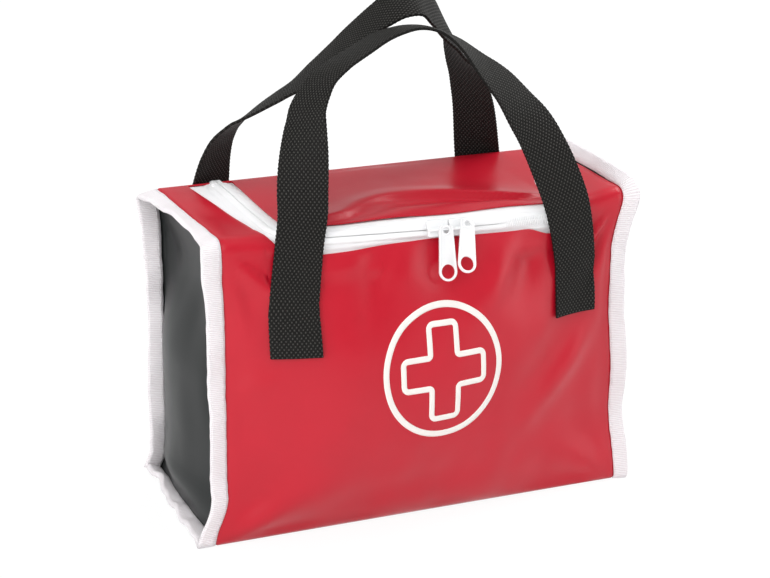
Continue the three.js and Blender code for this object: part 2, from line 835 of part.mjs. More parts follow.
addFrontPanel();
addBackPanel();
addBottomPanel();
addTopStrip("left_top_strip", -1);
addTopStrip("right_top_strip", 1);
addLidPanel();
addSidePanel("left_side_panel", -1);
addSidePanel("right_side_panel", 1);
addBindings("left", -1);
addBindings("right", 1);
addZipTape("zip_tape_bag", 1, zipBodyReach);
addZipTape("zip_tape_lid", -1, zipLidReach);
addZipCoil("zip_coil_bag", 1);
addZipCoil("zip_coil_lid", -1);
addZipStop("left_zip_stop", -1);
addZipStop("right_zip_stop", 1);
addSliderAndPull("left", leftSliderX, -zipCornerX);
addSliderAndPull("right", rightSliderX, zipCornerX);
addHandle("front_handle", 1, frontCrestRise, frontHandleShares, frontTurnShares);
addHandle("back_handle", -1, backCrestRise, backHandleShares, backTurnShares);
addHandleEnd("front_handle_end_left", -1, 1);
addHandleEnd("front_handle_end_right", 1, 1);
addHandleEnd("back_handle_end_left", -1, -1);
addHandleEnd("back_handle_end_right", 1, -1);
addEmblemRing();
addEmblemCross();

export default caseGroup;
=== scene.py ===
"""Dresses the toy doctor case: cloth, bindings, zip, sliders, webbing handles, print and a plain stage."""

import json
import math

import bmesh
import bpy
from bpy.props import FloatProperty, FloatVectorProperty, PointerProperty
from mathutils import Matrix, Vector, noise


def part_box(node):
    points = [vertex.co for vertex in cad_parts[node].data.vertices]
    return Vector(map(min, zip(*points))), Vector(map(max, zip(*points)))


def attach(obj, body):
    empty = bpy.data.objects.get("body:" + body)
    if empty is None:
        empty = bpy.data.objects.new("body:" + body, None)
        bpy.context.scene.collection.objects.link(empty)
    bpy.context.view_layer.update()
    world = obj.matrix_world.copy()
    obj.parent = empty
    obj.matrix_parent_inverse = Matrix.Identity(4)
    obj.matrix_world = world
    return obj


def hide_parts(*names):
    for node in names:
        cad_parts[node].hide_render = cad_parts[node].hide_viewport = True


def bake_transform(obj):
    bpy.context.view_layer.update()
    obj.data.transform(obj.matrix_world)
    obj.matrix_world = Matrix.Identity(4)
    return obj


bl_info = {
    "name": "Toy doctor case",
    "version": (1, 0, 0),
    "blender": (4, 5, 0),
    "location": "View3D > Sidebar > Toy case",
    "description": "Builds the cloth, zip, handles and finishes of a soft toy doctor case",
    "category": "Object",
}

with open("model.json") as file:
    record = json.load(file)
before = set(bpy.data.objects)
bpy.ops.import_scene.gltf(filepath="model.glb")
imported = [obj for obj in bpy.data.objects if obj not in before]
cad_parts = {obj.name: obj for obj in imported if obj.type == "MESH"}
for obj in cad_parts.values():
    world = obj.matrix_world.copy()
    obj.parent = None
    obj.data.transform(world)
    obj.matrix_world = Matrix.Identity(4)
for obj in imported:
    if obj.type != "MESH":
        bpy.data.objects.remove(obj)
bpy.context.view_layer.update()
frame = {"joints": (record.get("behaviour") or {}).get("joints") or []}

MM = 0.001
SIDES = {"left": -1, "right": 1}

# The case's body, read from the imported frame
top_low, top_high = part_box("right_binding_top")
FLAT_HEIGHT = top_low.z
TOP = top_high.z
HALF_DEPTH = top_high.y
EDGE_RADIUS = TOP - FLAT_HEIGHT
FIN_WIDTH = 9.5 * MM
SEAM_X = top_high.x - FIN_WIDTH
BULGE = 24 * MM
BULGE_LOWER_SHARE = 0.5
FOOT_RADIUS = 2.5 * MM

# Lengths along the cloth, from the front's foot over the top and round underneath
EDGE_LENGTH = EDGE_RADIUS * math.pi / 2
TOP_START = FLAT_HEIGHT + EDGE_LENGTH
TOP_END = TOP_START + 2 * (HALF_DEPTH - EDGE_RADIUS)
BACK_START = TOP_END + EDGE_LENGTH
BACK_FOOT = BACK_START + FLAT_HEIGHT
LOOP = BACK_FOOT + 2 * HALF_DEPTH

# The cloths, and the bound seams that stand out as fins
CLOTH = 0.8 * MM
CLOTH_EDGE = 0.3 * MM
SIDE_CLOTH = 0.6 * MM
SEAM_DROP = 0.7 * MM
SEAM_STEP = 0.2 * MM
FIN_INNER = 2.9 * MM
SIDE_FLANGE = 1.9 * MM
FIN_BEND = 3.0 * MM
LAYER_END = FIN_WIDTH - 2.2 * MM
BINDING_START = 1.0 * MM
BINDING_FOLD = 1.4 * MM
BINDING = 0.55 * MM
STITCH_RADIUS = 0.2 * MM
STITCH_SHARE = 0.72
STITCH_FREE_CORNER = 4 * MM

# The zip
ZIP_HALF_GAP = 0.8 * MM
ZIP_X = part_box("right_zip_stop")[0].x - ZIP_HALF_GAP
ZIP_U = FLAT_HEIGHT + 1.0 * MM
ZIP_RADIUS = 14 * MM
ZIP_CORNER_X = ZIP_X - ZIP_RADIUS
ZIP_CORNER_U = ZIP_U + ZIP_RADIUS
ZIP_REAR = TOP_END - 2.0 * MM
BAG_REACH = 7.5 * MM
LID_REACH = 8.5 * MM
TAPE = 0.45 * MM
TAPE_LAP = 3.5 * MM
TAPE_RIM = 3 * MM
TOOTH_LAP = 0.6 * MM
TOOTH_REACH = 2.5 * MM
TOOTH_TIP_HEIGHT = 0.2 * MM
TOOTH_ROOT_HEIGHT = 0.05 * MM
TOOTH_SUNK = 0.35 * MM
TOOTH_RADIUS = 0.38 * MM
TAPE_END = 3.5 * MM
SIDE_RUN = ZIP_REAR - ZIP_CORNER_U
CORNER_RUN = ZIP_RADIUS * math.pi / 2
FRONT_RUN = 2 * ZIP_CORNER_X
ZIP_RUN = 2 * SIDE_RUN + 2 * CORNER_RUN + FRONT_RUN

# The left zip tape shows more and more towards the back, up to the rear top edge, past which this fades
TAPE_SPREAD = 8 * MM
TAPE_SPREAD_START = 160 * MM
TAPE_SPREAD_RUN = 80 * MM
REAR_FADE = 9 * MM

# How the soft case leans: its front stands out further on the left
FRONT_LEAN = 5 * MM

# How far each side is drawn in at its front and at its back edge: by the foot, and then each change, the
# height where it starts and the height over which it grows, in mm
DRAWN_IN = {
    -1: ((-2, [(7.8, 0, 26), (-1.1, 110, 40)]), (-2, [(4.5, 0, 14), (-2.5, 135, 25)])),
    1: ((2.5, [(1.8, 0, 40), (3.5, 60, 45), (-5.6, 130, 28)]), (0, [(2.5, 0, 30), (-2.5, 130, 30)])),
}

# The foot stands forward, further on the right, and the upper rear and the upper right front corner stand up
FOOT_AHEAD = 4.7 * MM
FOOT_SLANT = 1.5 * MM
FOOT_CURVE = 0.6 * MM
FOOT_AHEAD_HEIGHT = 45 * MM
REAR_RISE = 1.8 * MM
RIGHT_RISE = 3.0 * MM

# The zip was sewn in askew: it drops to the right along the front, and its right run slants outwards
ZIP_DROP = 0.5 * MM
ZIP_SLOPE = 1.9 / 60
ZIP_SLANT = 19 * MM
ZIP_SLANT_START = TOP_START + 11 * MM
ZIP_SLANT_RUN = 60 * MM
LID_SPREAD = 6 * MM
NARROW_REACH = 4.2 * MM

# Lean of each side seam's fin towards the outer face: length along the cloth in mm, and degrees
FIN_LEANS = {
    -1: [
        (0, 0), (20, 3), (60, -3), (110, 2), (150, -5), (168, -3), (186, 8), (205, 20), (222, 4), (240, -13),
        (258, -6), (275, 10), (300, 14), (365, 9), (388, -3), (402, -12), (425, -22), (460, -9), (490, -2),
        (504, 0),
    ],
    1: [
        (0, 5), (30, 11), (80, 14), (125, 8), (152, 22), (168, 42), (200, 58), (240, 62), (258, 26), (300, 8),
        (400, 0), (425, -4), (490, 0), (504, 5),
    ],
}

# Where the fins flare out: length along the cloth, width and height in mm
FIN_FLARES = {
    -1: [(152, 16, 1.9), (262, 26, 2.2), (402, 20, 1.0)],
    1: [(152, 20, 1.2), (240, 60, 1.2), (60, 60, 0.5)],
}

# Webbing handles
end_low, end_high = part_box("front_handle_end_right")
LEG_SPAN = 78.5 * MM
LEG_SHIFT = 2.5 * MM
WEBBING_WIDTH = end_high.x - end_low.x
STITCHED_LOW = end_low.z
STITCHED_TOP = end_high.z
WEBBING = 1.6 * MM
WEBBING_EDGE = 0.45 * MM
WEBBING_CUP = 0.35 * MM

# Each handle's route: across, out from the middle and up in mm, and its turn in degrees
FRONT_ROUTE = [
    (-76, 57.7, 124.3, 0), (-73.5, 54.8, 139, 0), (-70.2, 50.6, 155, 2), (-67.2, 47.1, 169, 9),
    (-65.8, 43.2, 180.4, 20), (-62.5, 36.3, 198.3, 45), (-60, 31.5, 209.4, 62), (-57.9, 28.4, 215.9, 73),
    (-53.7, 25.3, 222.4, 81), (-47.5, 21.9, 229.1, 88), (-39, 19.2, 234.1, 94), (-25.4, 15.9, 240.1, 96),
    (-12.9, 12.9, 245.3, 97), (-3.4, 11.5, 247.6, 99), (5.3, 10.9, 248.5, 100), (14.5, 11.7, 247.4, 96),
    (23.2, 14, 243.8, 88), (30.2, 17.2, 238.8, 75), (39.6, 23.1, 228.8, 59), (49.2, 29, 218.3, 44),
    (56.6, 34.5, 207, 29), (62.6, 38.9, 197.1, 15), (69.3, 44.8, 180.8, 4), (75.5, 49.7, 162.3, 0),
    (77.5, 51.6, 152.6, 0), (79.6, 52.9, 139, 0), (81, 54, 124.3, 0),
]
BACK_ROUTE = [
    (-76, 56, 124.3, 0), (-80.6, 54.6, 134, 6), (-81.8, 53.4, 141.6, 11), (-82, 51.9, 151.9, 18),
    (-81.9, 49.9, 160.6, 24), (-80.3, 46.1, 175.2, 35), (-77.8, 43.5, 183.7, 44), (-73.1, 41.2, 190.6, 57),
    (-68.7, 39.9, 194.1, 66), (-58.6, 37.4, 200.9, 74), (-48.5, 34.8, 207.2, 78), (-40.4, 32.6, 212.4, 80),
    (-31.6, 28.7, 221.1, 83), (-22.3, 24.1, 230.6, 86), (-13.4, 19.2, 240.1, 90), (-3.2, 14, 249.5, 97),
    (6.1, 10.2, 256, 107), (15.4, 9.3, 257.5, 118), (25.5, 12.8, 251.6, 124), (35.3, 18.2, 241.9, 120),
    (43.1, 22.8, 233.3, 108), (48.1, 26.8, 225.1, 92), (53.3, 30.6, 217.1, 77), (58.2, 34.1, 209, 67),
    (61.7, 37.3, 201.1, 61), (66.3, 41.9, 188.4, 53), (72.7, 49.7, 161.6, 36), (76.1, 53, 145.9, 18),
    (78.6, 54.8, 134, 7), (81, 56, 124.3, 0),
]

# Sliders: two corners of each block, the rounding of its edges in mm and the segments of that rounding.
# The blocks are the upper plate, the lower plate, the upper plate's two turned edges and the post between
SLIDER_X = {"left": 3 * MM, "right": 15 * MM}
SLIDER_BLOCKS = [
    ((-5.75, -4.6, 1.6), (5.75, 4.2, 2.9), 0.9, 4),
    ((-5.75, -4.4, -4.3), (5.75, 3.6, -3.2), 0.4, 3),
    ((-4.75, -4.6, 0.7), (4.75, -4.0, 2.2), 0.25, 3),
    ((-4.75, 3.6, 0.7), (4.75, 4.2, 2.2), 0.25, 3),
    ((-1.5, -0.4, -3.4), (1.5, 0.4, 1.8), 0.1, 3),
]
BRIDGE_HALF = 4.945 * MM
BRIDGE_FOOT = 2.5 * MM
BRIDGE_HEIGHT = 4.7 * MM
BRIDGE_DROP = 1.3 * MM
BRIDGE_BAR = 0.8 * MM

# Pulls: how each one hangs, and how far it lies aside and up on its bridge in mm and swings out in radians
PULL_TILT = math.radians(19)
PULL_SKEW = {"left": math.radians(-1.8), "right": math.radians(-12)}
PULL_REST = {"left": (3.2, -1.0, 0.0), "right": (3.2, 1.4, 0.22)}
PULL_END = -20.4 * MM
PULL_RADIUS = 4.8 * MM
PULL_NECK = 3.7 * MM
PULL_THICKNESS = 1.0 * MM
PULL_RIM = 0.45 * MM
PULL_RIM_RISE = 0.42 * MM
PULL_RIM_INSET = 0.5 * MM
EYE_HALF_WIDTH = 1.7 * MM
EYE_HALF_HEIGHT = 1.6 * MM
EYE_RISE = 0.1 * MM
EYE_RIM = 0.4 * MM

# Printed emblem
EMBLEM_HEIGHT = 86 * MM
RING_RADIUS = 35 * MM
CROSS_REACH = 25.85 * MM
CROSS_SIDE_REACH = 24.9 * MM
CROSS_ARM = 9.2 * MM
CROSS_LINE = 3 * MM
CROSS_OUTER_ROUND = 2.6 * MM
CROSS_INNER_ROUND = 1.6 * MM
FILM = 0.16 * MM
FILM_EDGE = 0.1 * MM
FILM_THICKNESS = 0.15 * MM
EMBLEM_NARROWING = 0.96


def clamp(value):
    return min(1.0, max(0.0, value))


def smooth(value):
    t = clamp(value)
    return t * t * (3 - 2 * t)


def lerp(first, last, share):
    return first + (last - first) * share


def steps(first, last, count):
    return [lerp(first, last, i / count) for i in range(count + 1)]


def bell(at, middle, width):
    """A smooth bump: 1 at its middle, fading to both sides."""
    return math.exp(-(((at - middle) / width) ** 2))


def between(at, start, end, rise, fall):
    """A soft window: grows from 0 at its start over the rise, and fades from its end over the fall."""
    return smooth((at - start) / rise) * (1 - smooth((at - end) / fall))


def cubic(t, first, first_slope, last, last_slope):
    """A smooth curve from one value or point to the next with the given slopes, at a share t."""
    t2, t3 = t ** 2, t ** 3
    begin = (2 * t3 - 3 * t2 + 1) * first + (t3 - 2 * t2 + t) * first_slope
    return begin + (3 * t2 - 2 * t3) * last + (t3 - t2) * last_slope


def course(table, at):
    """The value at a place of a table of (place, value), along a smooth curve."""
    k = max(i for i in range(len(table) - 1) if i == 0 or table[i][0] <= at)
    (first, value), (last, next_value) = table[k], table[k + 1]
    before = table[max(0, k - 1)]
    after = table[min(len(table) - 1, k + 2)]
    span = last - first
    slope = (next_value - before[1]) / (last - before[0]) * span
    next_slope = (after[1] - value) / (after[0] - first) * span
    return cubic(clamp((at - first) / span), value, slope, next_value, next_slope)


def bulge(x, height):
    """How far the front or back is pushed out at x and at a height."""
    up = clamp(height / TOP)
    across = clamp(1 - (x / SEAM_X) ** 2)
    return BULGE * 4 * up * (1 - up) * (1 + BULGE_LOWER_SHARE * (0.5 - up)) * across


def front_bulge(x, height):
    """The front's bulge, which leans towards the left."""
    t = x / SEAM_X
    up = clamp(height / TOP)
    return bulge(x, height) - FRONT_LEAN * t * max(0.0, 1 - t ** 4) * 4 * up * (1 - up)


def drawn_in(hand, y, z):
    """How far the left or right side is drawn in, where the soft case is squeezed or sags."""
    front, back = (
        at_foot + sum(change * smooth((z / MM - start) / run) for change, start, run in changes)
        for at_foot, changes in DRAWN_IN[hand]
    )
    return lerp(front, back, smooth((y + HALF_DEPTH) / (2 * HALF_DEPTH))) * MM


def settled(point):
    """A point of the plain form, moved to where it lies on the soft case."""
    hand = 1 if point.x > 0 else -1
    share = clamp(abs(point.x) / SEAM_X)
    point.x -= hand * share ** 3 * drawn_in(hand, point.y, point.z)
    return slumped(point)


def slumped(point):
    """Moves a point with the foot, which stands forward, and with the upper corners, which stand up."""
    t = point.x / SEAM_X
    ahead = smooth(-point.y / HALF_DEPTH) * (1 - smooth(point.z / FOOT_AHEAD_HEIGHT))
    high = smooth((point.z - 112 * MM) / (44 * MM))
    back = smooth((point.y + 15 * MM) / (50 * MM))
    right = smooth((point.x - 84 * MM) / (26 * MM))
    point.y -= (FOOT_AHEAD + FOOT_SLANT * t + FOOT_CURVE * t * t) * ahead
    point.z += high * (REAR_RISE * back + RIGHT_RISE * right * (1 - back))
    return point


def around(x, u, n):
    return settled(plain_around(x, u, n))


def plain_around(x, u, n):
    """A point of the cloth: x across, u along it from the front's foot, n outwards."""
    u %= LOOP
    r = FOOT_RADIUS
    flat = HALF_DEPTH - EDGE_RADIUS
    at_back = (TOP_START + TOP_END) / 2 < u < BACK_FOOT + HALF_DEPTH
    hand, swell = (1, bulge) if at_back else (-1, front_bulge)
    run = BACK_FOOT - u if at_back else u - LOOP * (u > LOOP / 2)
    if run <= -r:
        return Vector((x, HALF_DEPTH + BACK_FOOT - u, -n))
    if run < r:
        turn = (r - run) / (2 * r) * math.pi / 2
        arm = max(r + n, 0.1 * MM)
        height = r - arm * math.sin(turn)
        return Vector((x, hand * (HALF_DEPTH - r + arm * math.cos(turn) + swell(x, height)), height))
    if run <= FLAT_HEIGHT:
        return Vector((x, hand * (HALF_DEPTH + n + swell(x, run)), run))
    turn = (run - FLAT_HEIGHT) / EDGE_RADIUS
    if turn < math.pi / 2:
        rise = FLAT_HEIGHT + EDGE_RADIUS * math.sin(turn)
        arm = EDGE_RADIUS + n
        out = hand * (flat + arm * math.cos(turn) + swell(x, rise))
        return Vector((x, out, FLAT_HEIGHT + arm * math.sin(turn)))
    return Vector((x, u - TOP_START - flat, TOP + n))


def fin_lean(hand, u):
    """Lean of a side seam's fin towards the outer face, in radians."""
    at = u / MM
    t = at + 37 * hand
    wave = 3.5 * math.sin(t / 7.1 + hand) + 2.5 * math.sin(t / 4.3) + 3 * math.sin(t / 15.0)
    if hand < 0:
        wave += 9 * smooth((at - 409) / 12) * smooth((503 - at) / 12) * math.sin(t / 3.6) * math.sin(t / 11.0)
    return math.radians(course(FIN_LEANS[hand], at) + wave)


def fin_creep(hand, u):
    """How far a fin's outer edge creeps outwards, in metres."""
    t = u / MM + 37 * hand
    creep = 0.45 * math.sin(t / 21.0 + 2.0 * hand) + 0.25 * math.sin(t / 8.3 + 1.1)
    creep += sum(more * bell(u / MM, middle, width) for middle, width, more in FIN_FLARES[hand])
    return creep * MM


def in_fin(hand, s, u, n):
    """A point of a bound seam: s out from the seam line, n outwards through its layers."""
    u %= LOOP
    lean = fin_lean(hand, u) * smooth(s / FIN_BEND)
    middle = -FIN_INNER / 2
    depth = n - middle
    out = s * math.cos(lean) - depth * math.sin(lean)
    rise = s * math.sin(lean) + depth * math.cos(lean)
    creep = fin_creep(hand, u) * clamp(s / FIN_WIDTH)
    point = around(hand * (SEAM_X + out + creep), u, middle + rise)
    if hand < 0:
        point.z += 2.2 * MM * s / FIN_WIDTH * bell(u, BACK_FOOT, 17 * MM)
    point.z = max(point.z, 0.0)
    return point


def fan(dx, dz, ridges, start, reach):
    """Folds that fan out from a corner, strongest at the start distance and gone at the reach beyond it."""
    far = math.hypot(dx, dz)
    if far < 0.1 * MM:
        return 0.0
    angle = math.degrees(math.atan2(dz, dx))
    heights = sum(height * bell(angle, middle, width) for middle, width, height in ridges)
    return between(far, 0, start, start, reach) * heights


# Folds that fan out from each corner of a face: side, whether at the top, where they are strongest and how
# far they reach beyond it in mm, and each fold's angle from level and width in degrees and height in mm
CORNER_FANS = [
    (1, True, 24, 48, [(6, 8, 1.4), (24, 9, -1.6), (42, 8, 1.9), (60, 8, -1.5), (77, 8, 1.6)]),
    (-1, True, 24, 48, [(2, 8, 1.2), (19, 9, -1.8), (40, 10, 1.4), (62, 12, -1.0), (80, 9, 0.8)]),
    (-1, False, 38, 70, [(8, 8, -0.7), (27, 12, 1.1), (55, 14, -0.8)]),
    (1, False, 34, 56, [(14, 10, -0.9), (34, 12, 1.3), (60, 12, -0.8)]),
]

# Soft folds of the front: x and height of the middle, angle in degrees, length, width and height, in mm
FRONT_FOLDS = [
    (76, 71, 43, 30, 7, 2.4), (60, 80, 43, 24, 9, -1.2), (35, 129, 54, 17, 8, 2.1),
    (52, 131, 66, 16, 8, -2.0), (-47, 143, 8, 13, 6, 1.3), (-17, 139, 60, 15, 9, 1.6),
    (-34, 133, 80, 15, 9, -1.2), (5, 136, 75, 16, 9, -1.0), (-92, 149, -38, 12, 6, -2.2),
    (-94, 14, 32, 18, 7, 2.0), (-99, 86, 12, 10, 6, 1.2), (-100, 62, -15, 14, 8, -0.8),
    (93, 18, 140, 16, 8, 1.2), (97, 120, 78, 18, 5, 1.5), (60, 100, 85, 20, 9, 1.0),
    (-60, 60, 70, 40, 16, 1.0), (-20, 22, 5, 50, 9, -0.8), (20, 40, 160, 40, 14, 0.9),
]
# Guessed folds of the back, which doesn't show in the photograph
BACK_FOLDS = [
    (70, 75, 130, 34, 8, 2.0), (-60, 110, 60, 24, 9, 1.8), (-40, 122, 75, 18, 8, -1.6),
    (10, 60, 20, 40, 12, 1.2), (-90, 20, 35, 18, 8, 1.8), (90, 130, 100, 20, 8, -1.6),
    (0, 128, 0, 40, 9, 1.3),
]
FOLD_GAIN = 1.35
SOFT_SWELL = 1.3
FINE_SWELL = 0.35


def fold_sum(x, height, folds):
    total = 0.0
    for middle, up, angle, length, width, high in folds:
        turn = math.radians(angle)
        dx, dz = x / MM - middle, height / MM - up
        along = dx * math.cos(turn) + dz * math.sin(turn)
        across = dz * math.cos(turn) - dx * math.sin(turn)
        total += high * bell(along, 0, length) * bell(across, 0, width)
    return total


def face_relief(x, height, seed, folds):
    """Soft folds of the front or back face, in metres."""
    w = fold_sum(x, height, folds)
    for side, at_top, start, reach, ridges in CORNER_FANS:
        rise = FLAT_HEIGHT - height if at_top else height
        w += fan(SEAM_X - side * x, rise, ridges, start * MM, reach * MM)
    soft = noise.noise(Vector((x / (34 * MM), height / (46 * MM), seed)))
    fine = noise.noise(Vector((x / (13 * MM), height / (19 * MM), seed + 5)))
    w += SOFT_SWELL * soft + FINE_SWELL * fine
    edge = smooth((SEAM_X - abs(x)) / (9 * MM)) * smooth(height / (7 * MM))
    return FOLD_GAIN * w * edge * MM


def relief(x, u):
    """How far the red cloth stands off its plain form, in metres."""
    if u <= FLAT_HEIGHT:
        w = face_relief(x, u, 1.7, FRONT_FOLDS)
        w *= 1 - 0.5 * smooth((u - FLAT_HEIGHT + 9 * MM) / (9 * MM))
        deepest = lerp(-9, -0.35, smooth((u - 124 * MM) / (16 * MM)))
        return max(w, deepest * MM)
    if u >= BACK_FOOT:
        return 0.0
    if u >= BACK_START:
        return face_relief(-x, BACK_FOOT - u, 8.3, BACK_FOLDS) * smooth((u - BACK_START) / (12 * MM))
    fade = smooth((SEAM_X - abs(x)) / (8 * MM))
    calm = smooth((TOP_END - u) / (6 * MM)) * smooth((u - FLAT_HEIGHT) / (8 * MM))
    w = 0.5 * noise.noise(Vector((x / (13 * MM), u / (26 * MM), 3.1))) * fade * calm * MM
    if u < TOP_START:
        w += 0.3 * (1 - calm) * face_relief(x, FLAT_HEIGHT, 1.7, FRONT_FOLDS)
    return w


def stand_out(x, u):
    """Offset of the red cloth's outer face, with its step into the bound seam."""
    past = (abs(x) - SEAM_X + SEAM_STEP) / MM
    return relief(x, u) - SEAM_DROP * clamp(past)


def spread(x, u):
    """Column x of the cloth beside the zip, moved out where the tape shows more."""
    edge = ZIP_X + BAG_REACH
    if x > 0.01 * MM - edge or u < TAPE_SPREAD_START or u > TOP_END + REAR_FADE:
        return x
    share = clamp((SEAM_X - SEAM_STEP - abs(x)) / (SEAM_X - SEAM_STEP - edge))
    return x + math.copysign(tape_spread(u) * share, x)


def tape_spread(u):
    grow = clamp((u - TAPE_SPREAD_START) / TAPE_SPREAD_RUN)
    return TAPE_SPREAD * grow * (1 - smooth((u - TOP_END) / REAR_FADE))


def askew(x, u):
    """A place by the zip, moved to where the askew zip takes it."""
    inside = 1 - smooth((abs(x) - ZIP_CORNER_X) / (SEAM_X - ZIP_CORNER_X))
    near = between(u, 118 * MM, 172 * MM, 26 * MM, 26 * MM)
    rear = between(u, ZIP_SLANT_START, TOP_END, ZIP_SLANT_RUN, REAR_FADE)
    share = smooth((x - 30 * MM) / (30 * MM)) * clamp((SEAM_X - x) / (SEAM_X - 90 * MM))
    return x + ZIP_SLANT * rear * share, u - (ZIP_DROP + ZIP_SLOPE * x) * inside * near


def bag_reach(x):
    """How wide the tape shows below the front run's teeth."""
    return lerp(BAG_REACH, NARROW_REACH, between(x, -65 * MM, 54 * MM, 60 * MM, 14 * MM))


def cloth_point(x, u, n=0.0):
    x, u = askew(spread(x, u), u)
    s = abs(x) - SEAM_X
    if s <= 0:
        return around(x, u, n + stand_out(x, u))
    return in_fin(math.copysign(1, x), s, u, n + stand_out(x, u))


def zip_station(d):
    """The zip's middle line at d along it, from the right rear round the front to the left rear."""
    hand = 1 if d < ZIP_RUN / 2 else -1
    e = d if hand > 0 else ZIP_RUN - d
    if e < SIDE_RUN:
        return hand * ZIP_X, ZIP_REAR - e, hand, 0.0
    if e < SIDE_RUN + CORNER_RUN:
        turn = (e - SIDE_RUN) / ZIP_RADIUS
        x = hand * (ZIP_CORNER_X + ZIP_RADIUS * math.cos(turn))
        return x, ZIP_CORNER_U - ZIP_RADIUS * math.sin(turn), hand * math.cos(turn), -math.sin(turn)
    return hand * (ZIP_CORNER_X - (e - SIDE_RUN - CORNER_RUN)), ZIP_U, 0.0, -1.0


def zip_point(d, across, n):
    """A point beside the zip's middle line: across is positive on the bag's side."""
    x, u, out_x, out_u = zip_station(d)
    x, u = askew(x + out_x * across, u + out_u * across)
    return around(x, u, n)


class Wire:
    """A shader value that works in Python sums."""

    def __init__(self, paint, socket):
        self.paint = paint
        self.socket = socket

    def math(self, operation, first, second=0.0):
        return self.paint.add("ShaderNodeMath", {"operation": operation}, {0: first, 1: second})

    def __add__(self, other):
        return self.math("ADD", self, other)

    def __sub__(self, other):
        return self.math("SUBTRACT", self, other)

    def __rsub__(self, other):
        return self.math("SUBTRACT", other, self)

    def __mul__(self, other):
        return self.math("MULTIPLY", self, other)

    def __truediv__(self, other):
        return self.math("DIVIDE", self, other)

    def __pow__(self, other):
        return self.math("POWER", self, other)

    def wave(self, pitch):
        """A sine of this value with the given pitch."""
        return self.math("SINE", self * (2 * math.pi / pitch))

    def most(self, other=0.0):
        return self.math("MAXIMUM", self, other)

    def size(self):
        return self.math("ABSOLUTE", self)


class Paint:
    """A procedural material that is built node by node."""

    def __init__(self, name, **constants):
        self.material = bpy.data.materials.new(name)
        self.material.use_nodes = True
        self.tree = self.material.node_tree
        self.shader = self.tree.nodes["Principled BSDF"]
        for key, value in constants.items():
            self.shader.inputs[key.replace("_", " ")].default_value = value

    def add(self, kind, settings, sockets, output=0):
        node = self.tree.nodes.new(kind)
        for key, value in settings.items():
            setattr(node, key, value)
        for key, value in sockets.items():
            self.feed(node.inputs[key], value)
        return Wire(self, node.outputs[output])

    def feed(self, socket, value):
        if isinstance(value, Wire):
            self.tree.links.new(value.socket, socket)
        else:
            socket.default_value = value

    def split(self, vector):
        node = self.add("ShaderNodeSeparateXYZ", {}, {0: vector}).socket.node
        return [Wire(self, output) for output in node.outputs]

    def chart(self):
        """The piece's own map, in metres: across and along."""
        across, along, _ = self.split(self.add("ShaderNodeUVMap", {"uv_map": "chart"}, {}))
        return across, along

    def place(self):
        """The place in the object's own space, in metres."""
        return self.add("ShaderNodeTexCoord", {}, {}, "Object")

    def noise(self, vector, scale, detail=2.0, roughness=0.5):
        sockets = {"Vector": vector, "Scale": scale, "Detail": detail, "Roughness": roughness}
        return self.add("ShaderNodeTexNoise", {}, sockets)

    def colour_mix(self, share, first, second):
        """Two colours mixed; the mix node's colour sockets are 6 and 7, and its colour output is 2."""
        return self.add("ShaderNodeMix", {"data_type": "RGBA"}, {0: share, 6: first, 7: second}, 2)

    def bump(self, height, depth, strength):
        return self.add("ShaderNodeBump", {}, {"Height": height, "Distance": depth, "Strength": strength})

    def finish(self, **wires):
        for key, value in wires.items():
            self.feed(self.shader.inputs[key.replace("_", " ")], value)
        return self.material


def four(colour, level=1.0):
    return (colour[0] * level, colour[1] * level, colour[2] * level, 1.0)


# Fine threads of the finishes
CLOTH_WEAVE = 0.9 * MM
BINDING_YARN = 0.42 * MM
TAPE_TWILL = 0.85 * MM
TAPE_SEAM = 3.6 * MM
TAPE_SEAM_WIDTH = 0.35 * MM
KNUCKLE_STRETCH = 1.28


def coated_cloth(name, colour, roughness, pale, level):
    """Plastic-coated cloth: smooth, with a faint weave showing through and a cloudy sheen."""
    paint = Paint(name, IOR=1.5, Specular_IOR_Level=level)
    across, along = paint.chart()
    place = paint.place()
    clouds = paint.noise(place, 22.0, 3.0)
    grain = paint.noise(place, 900.0, 2.0)
    weave = across.wave(CLOTH_WEAVE) * along.wave(CLOTH_WEAVE)
    scuff = paint.noise(place, 75.0, 5.0, 0.65)
    mix = clouds * 0.7 + scuff * 0.3
    tone = paint.colour_mix(mix, four(colour, 0.9), four(pale))
    height = weave * 0.35 + grain * 0.65 + scuff * 0.8
    rough = clouds * 0.16 + scuff * 0.1 + (roughness - 0.13)
    return paint.finish(Base_Color=tone, Roughness=rough, Normal=paint.bump(height, 0.05 * MM, 0.5))


def ribbed_tape(name, colour, painted_shade, pitch):
    """Grosgrain binding: ribs across it, fine yarn along it, painted shade in the grooves between its ribs
    and random cloudy darkening.
    """
    paint = Paint(name, IOR=1.45, Sheen_Weight=0.15, Sheen_Roughness=0.5)
    across, along = paint.chart()
    place = paint.place()
    wobble = paint.noise(place, 260.0, 2.0)
    ribs = (along + wobble * (0.25 * MM)).wave(pitch)
    yarn = across.wave(BINDING_YARN)
    clouds = paint.noise(place, 60.0, 3.0)
    # The colour mixes towards the painted shade in the ribs' grooves, and in random clouds.
    mask = ribs * 0.4 + clouds * 0.3 + 0.42
    tone = paint.colour_mix(mask, four(painted_shade), four(colour))
    height = ribs * 0.7 + yarn * 0.2 + wobble * 0.4
    return paint.finish(Base_Color=tone, Roughness=0.78, Normal=paint.bump(height, 0.16 * MM, 0.8))


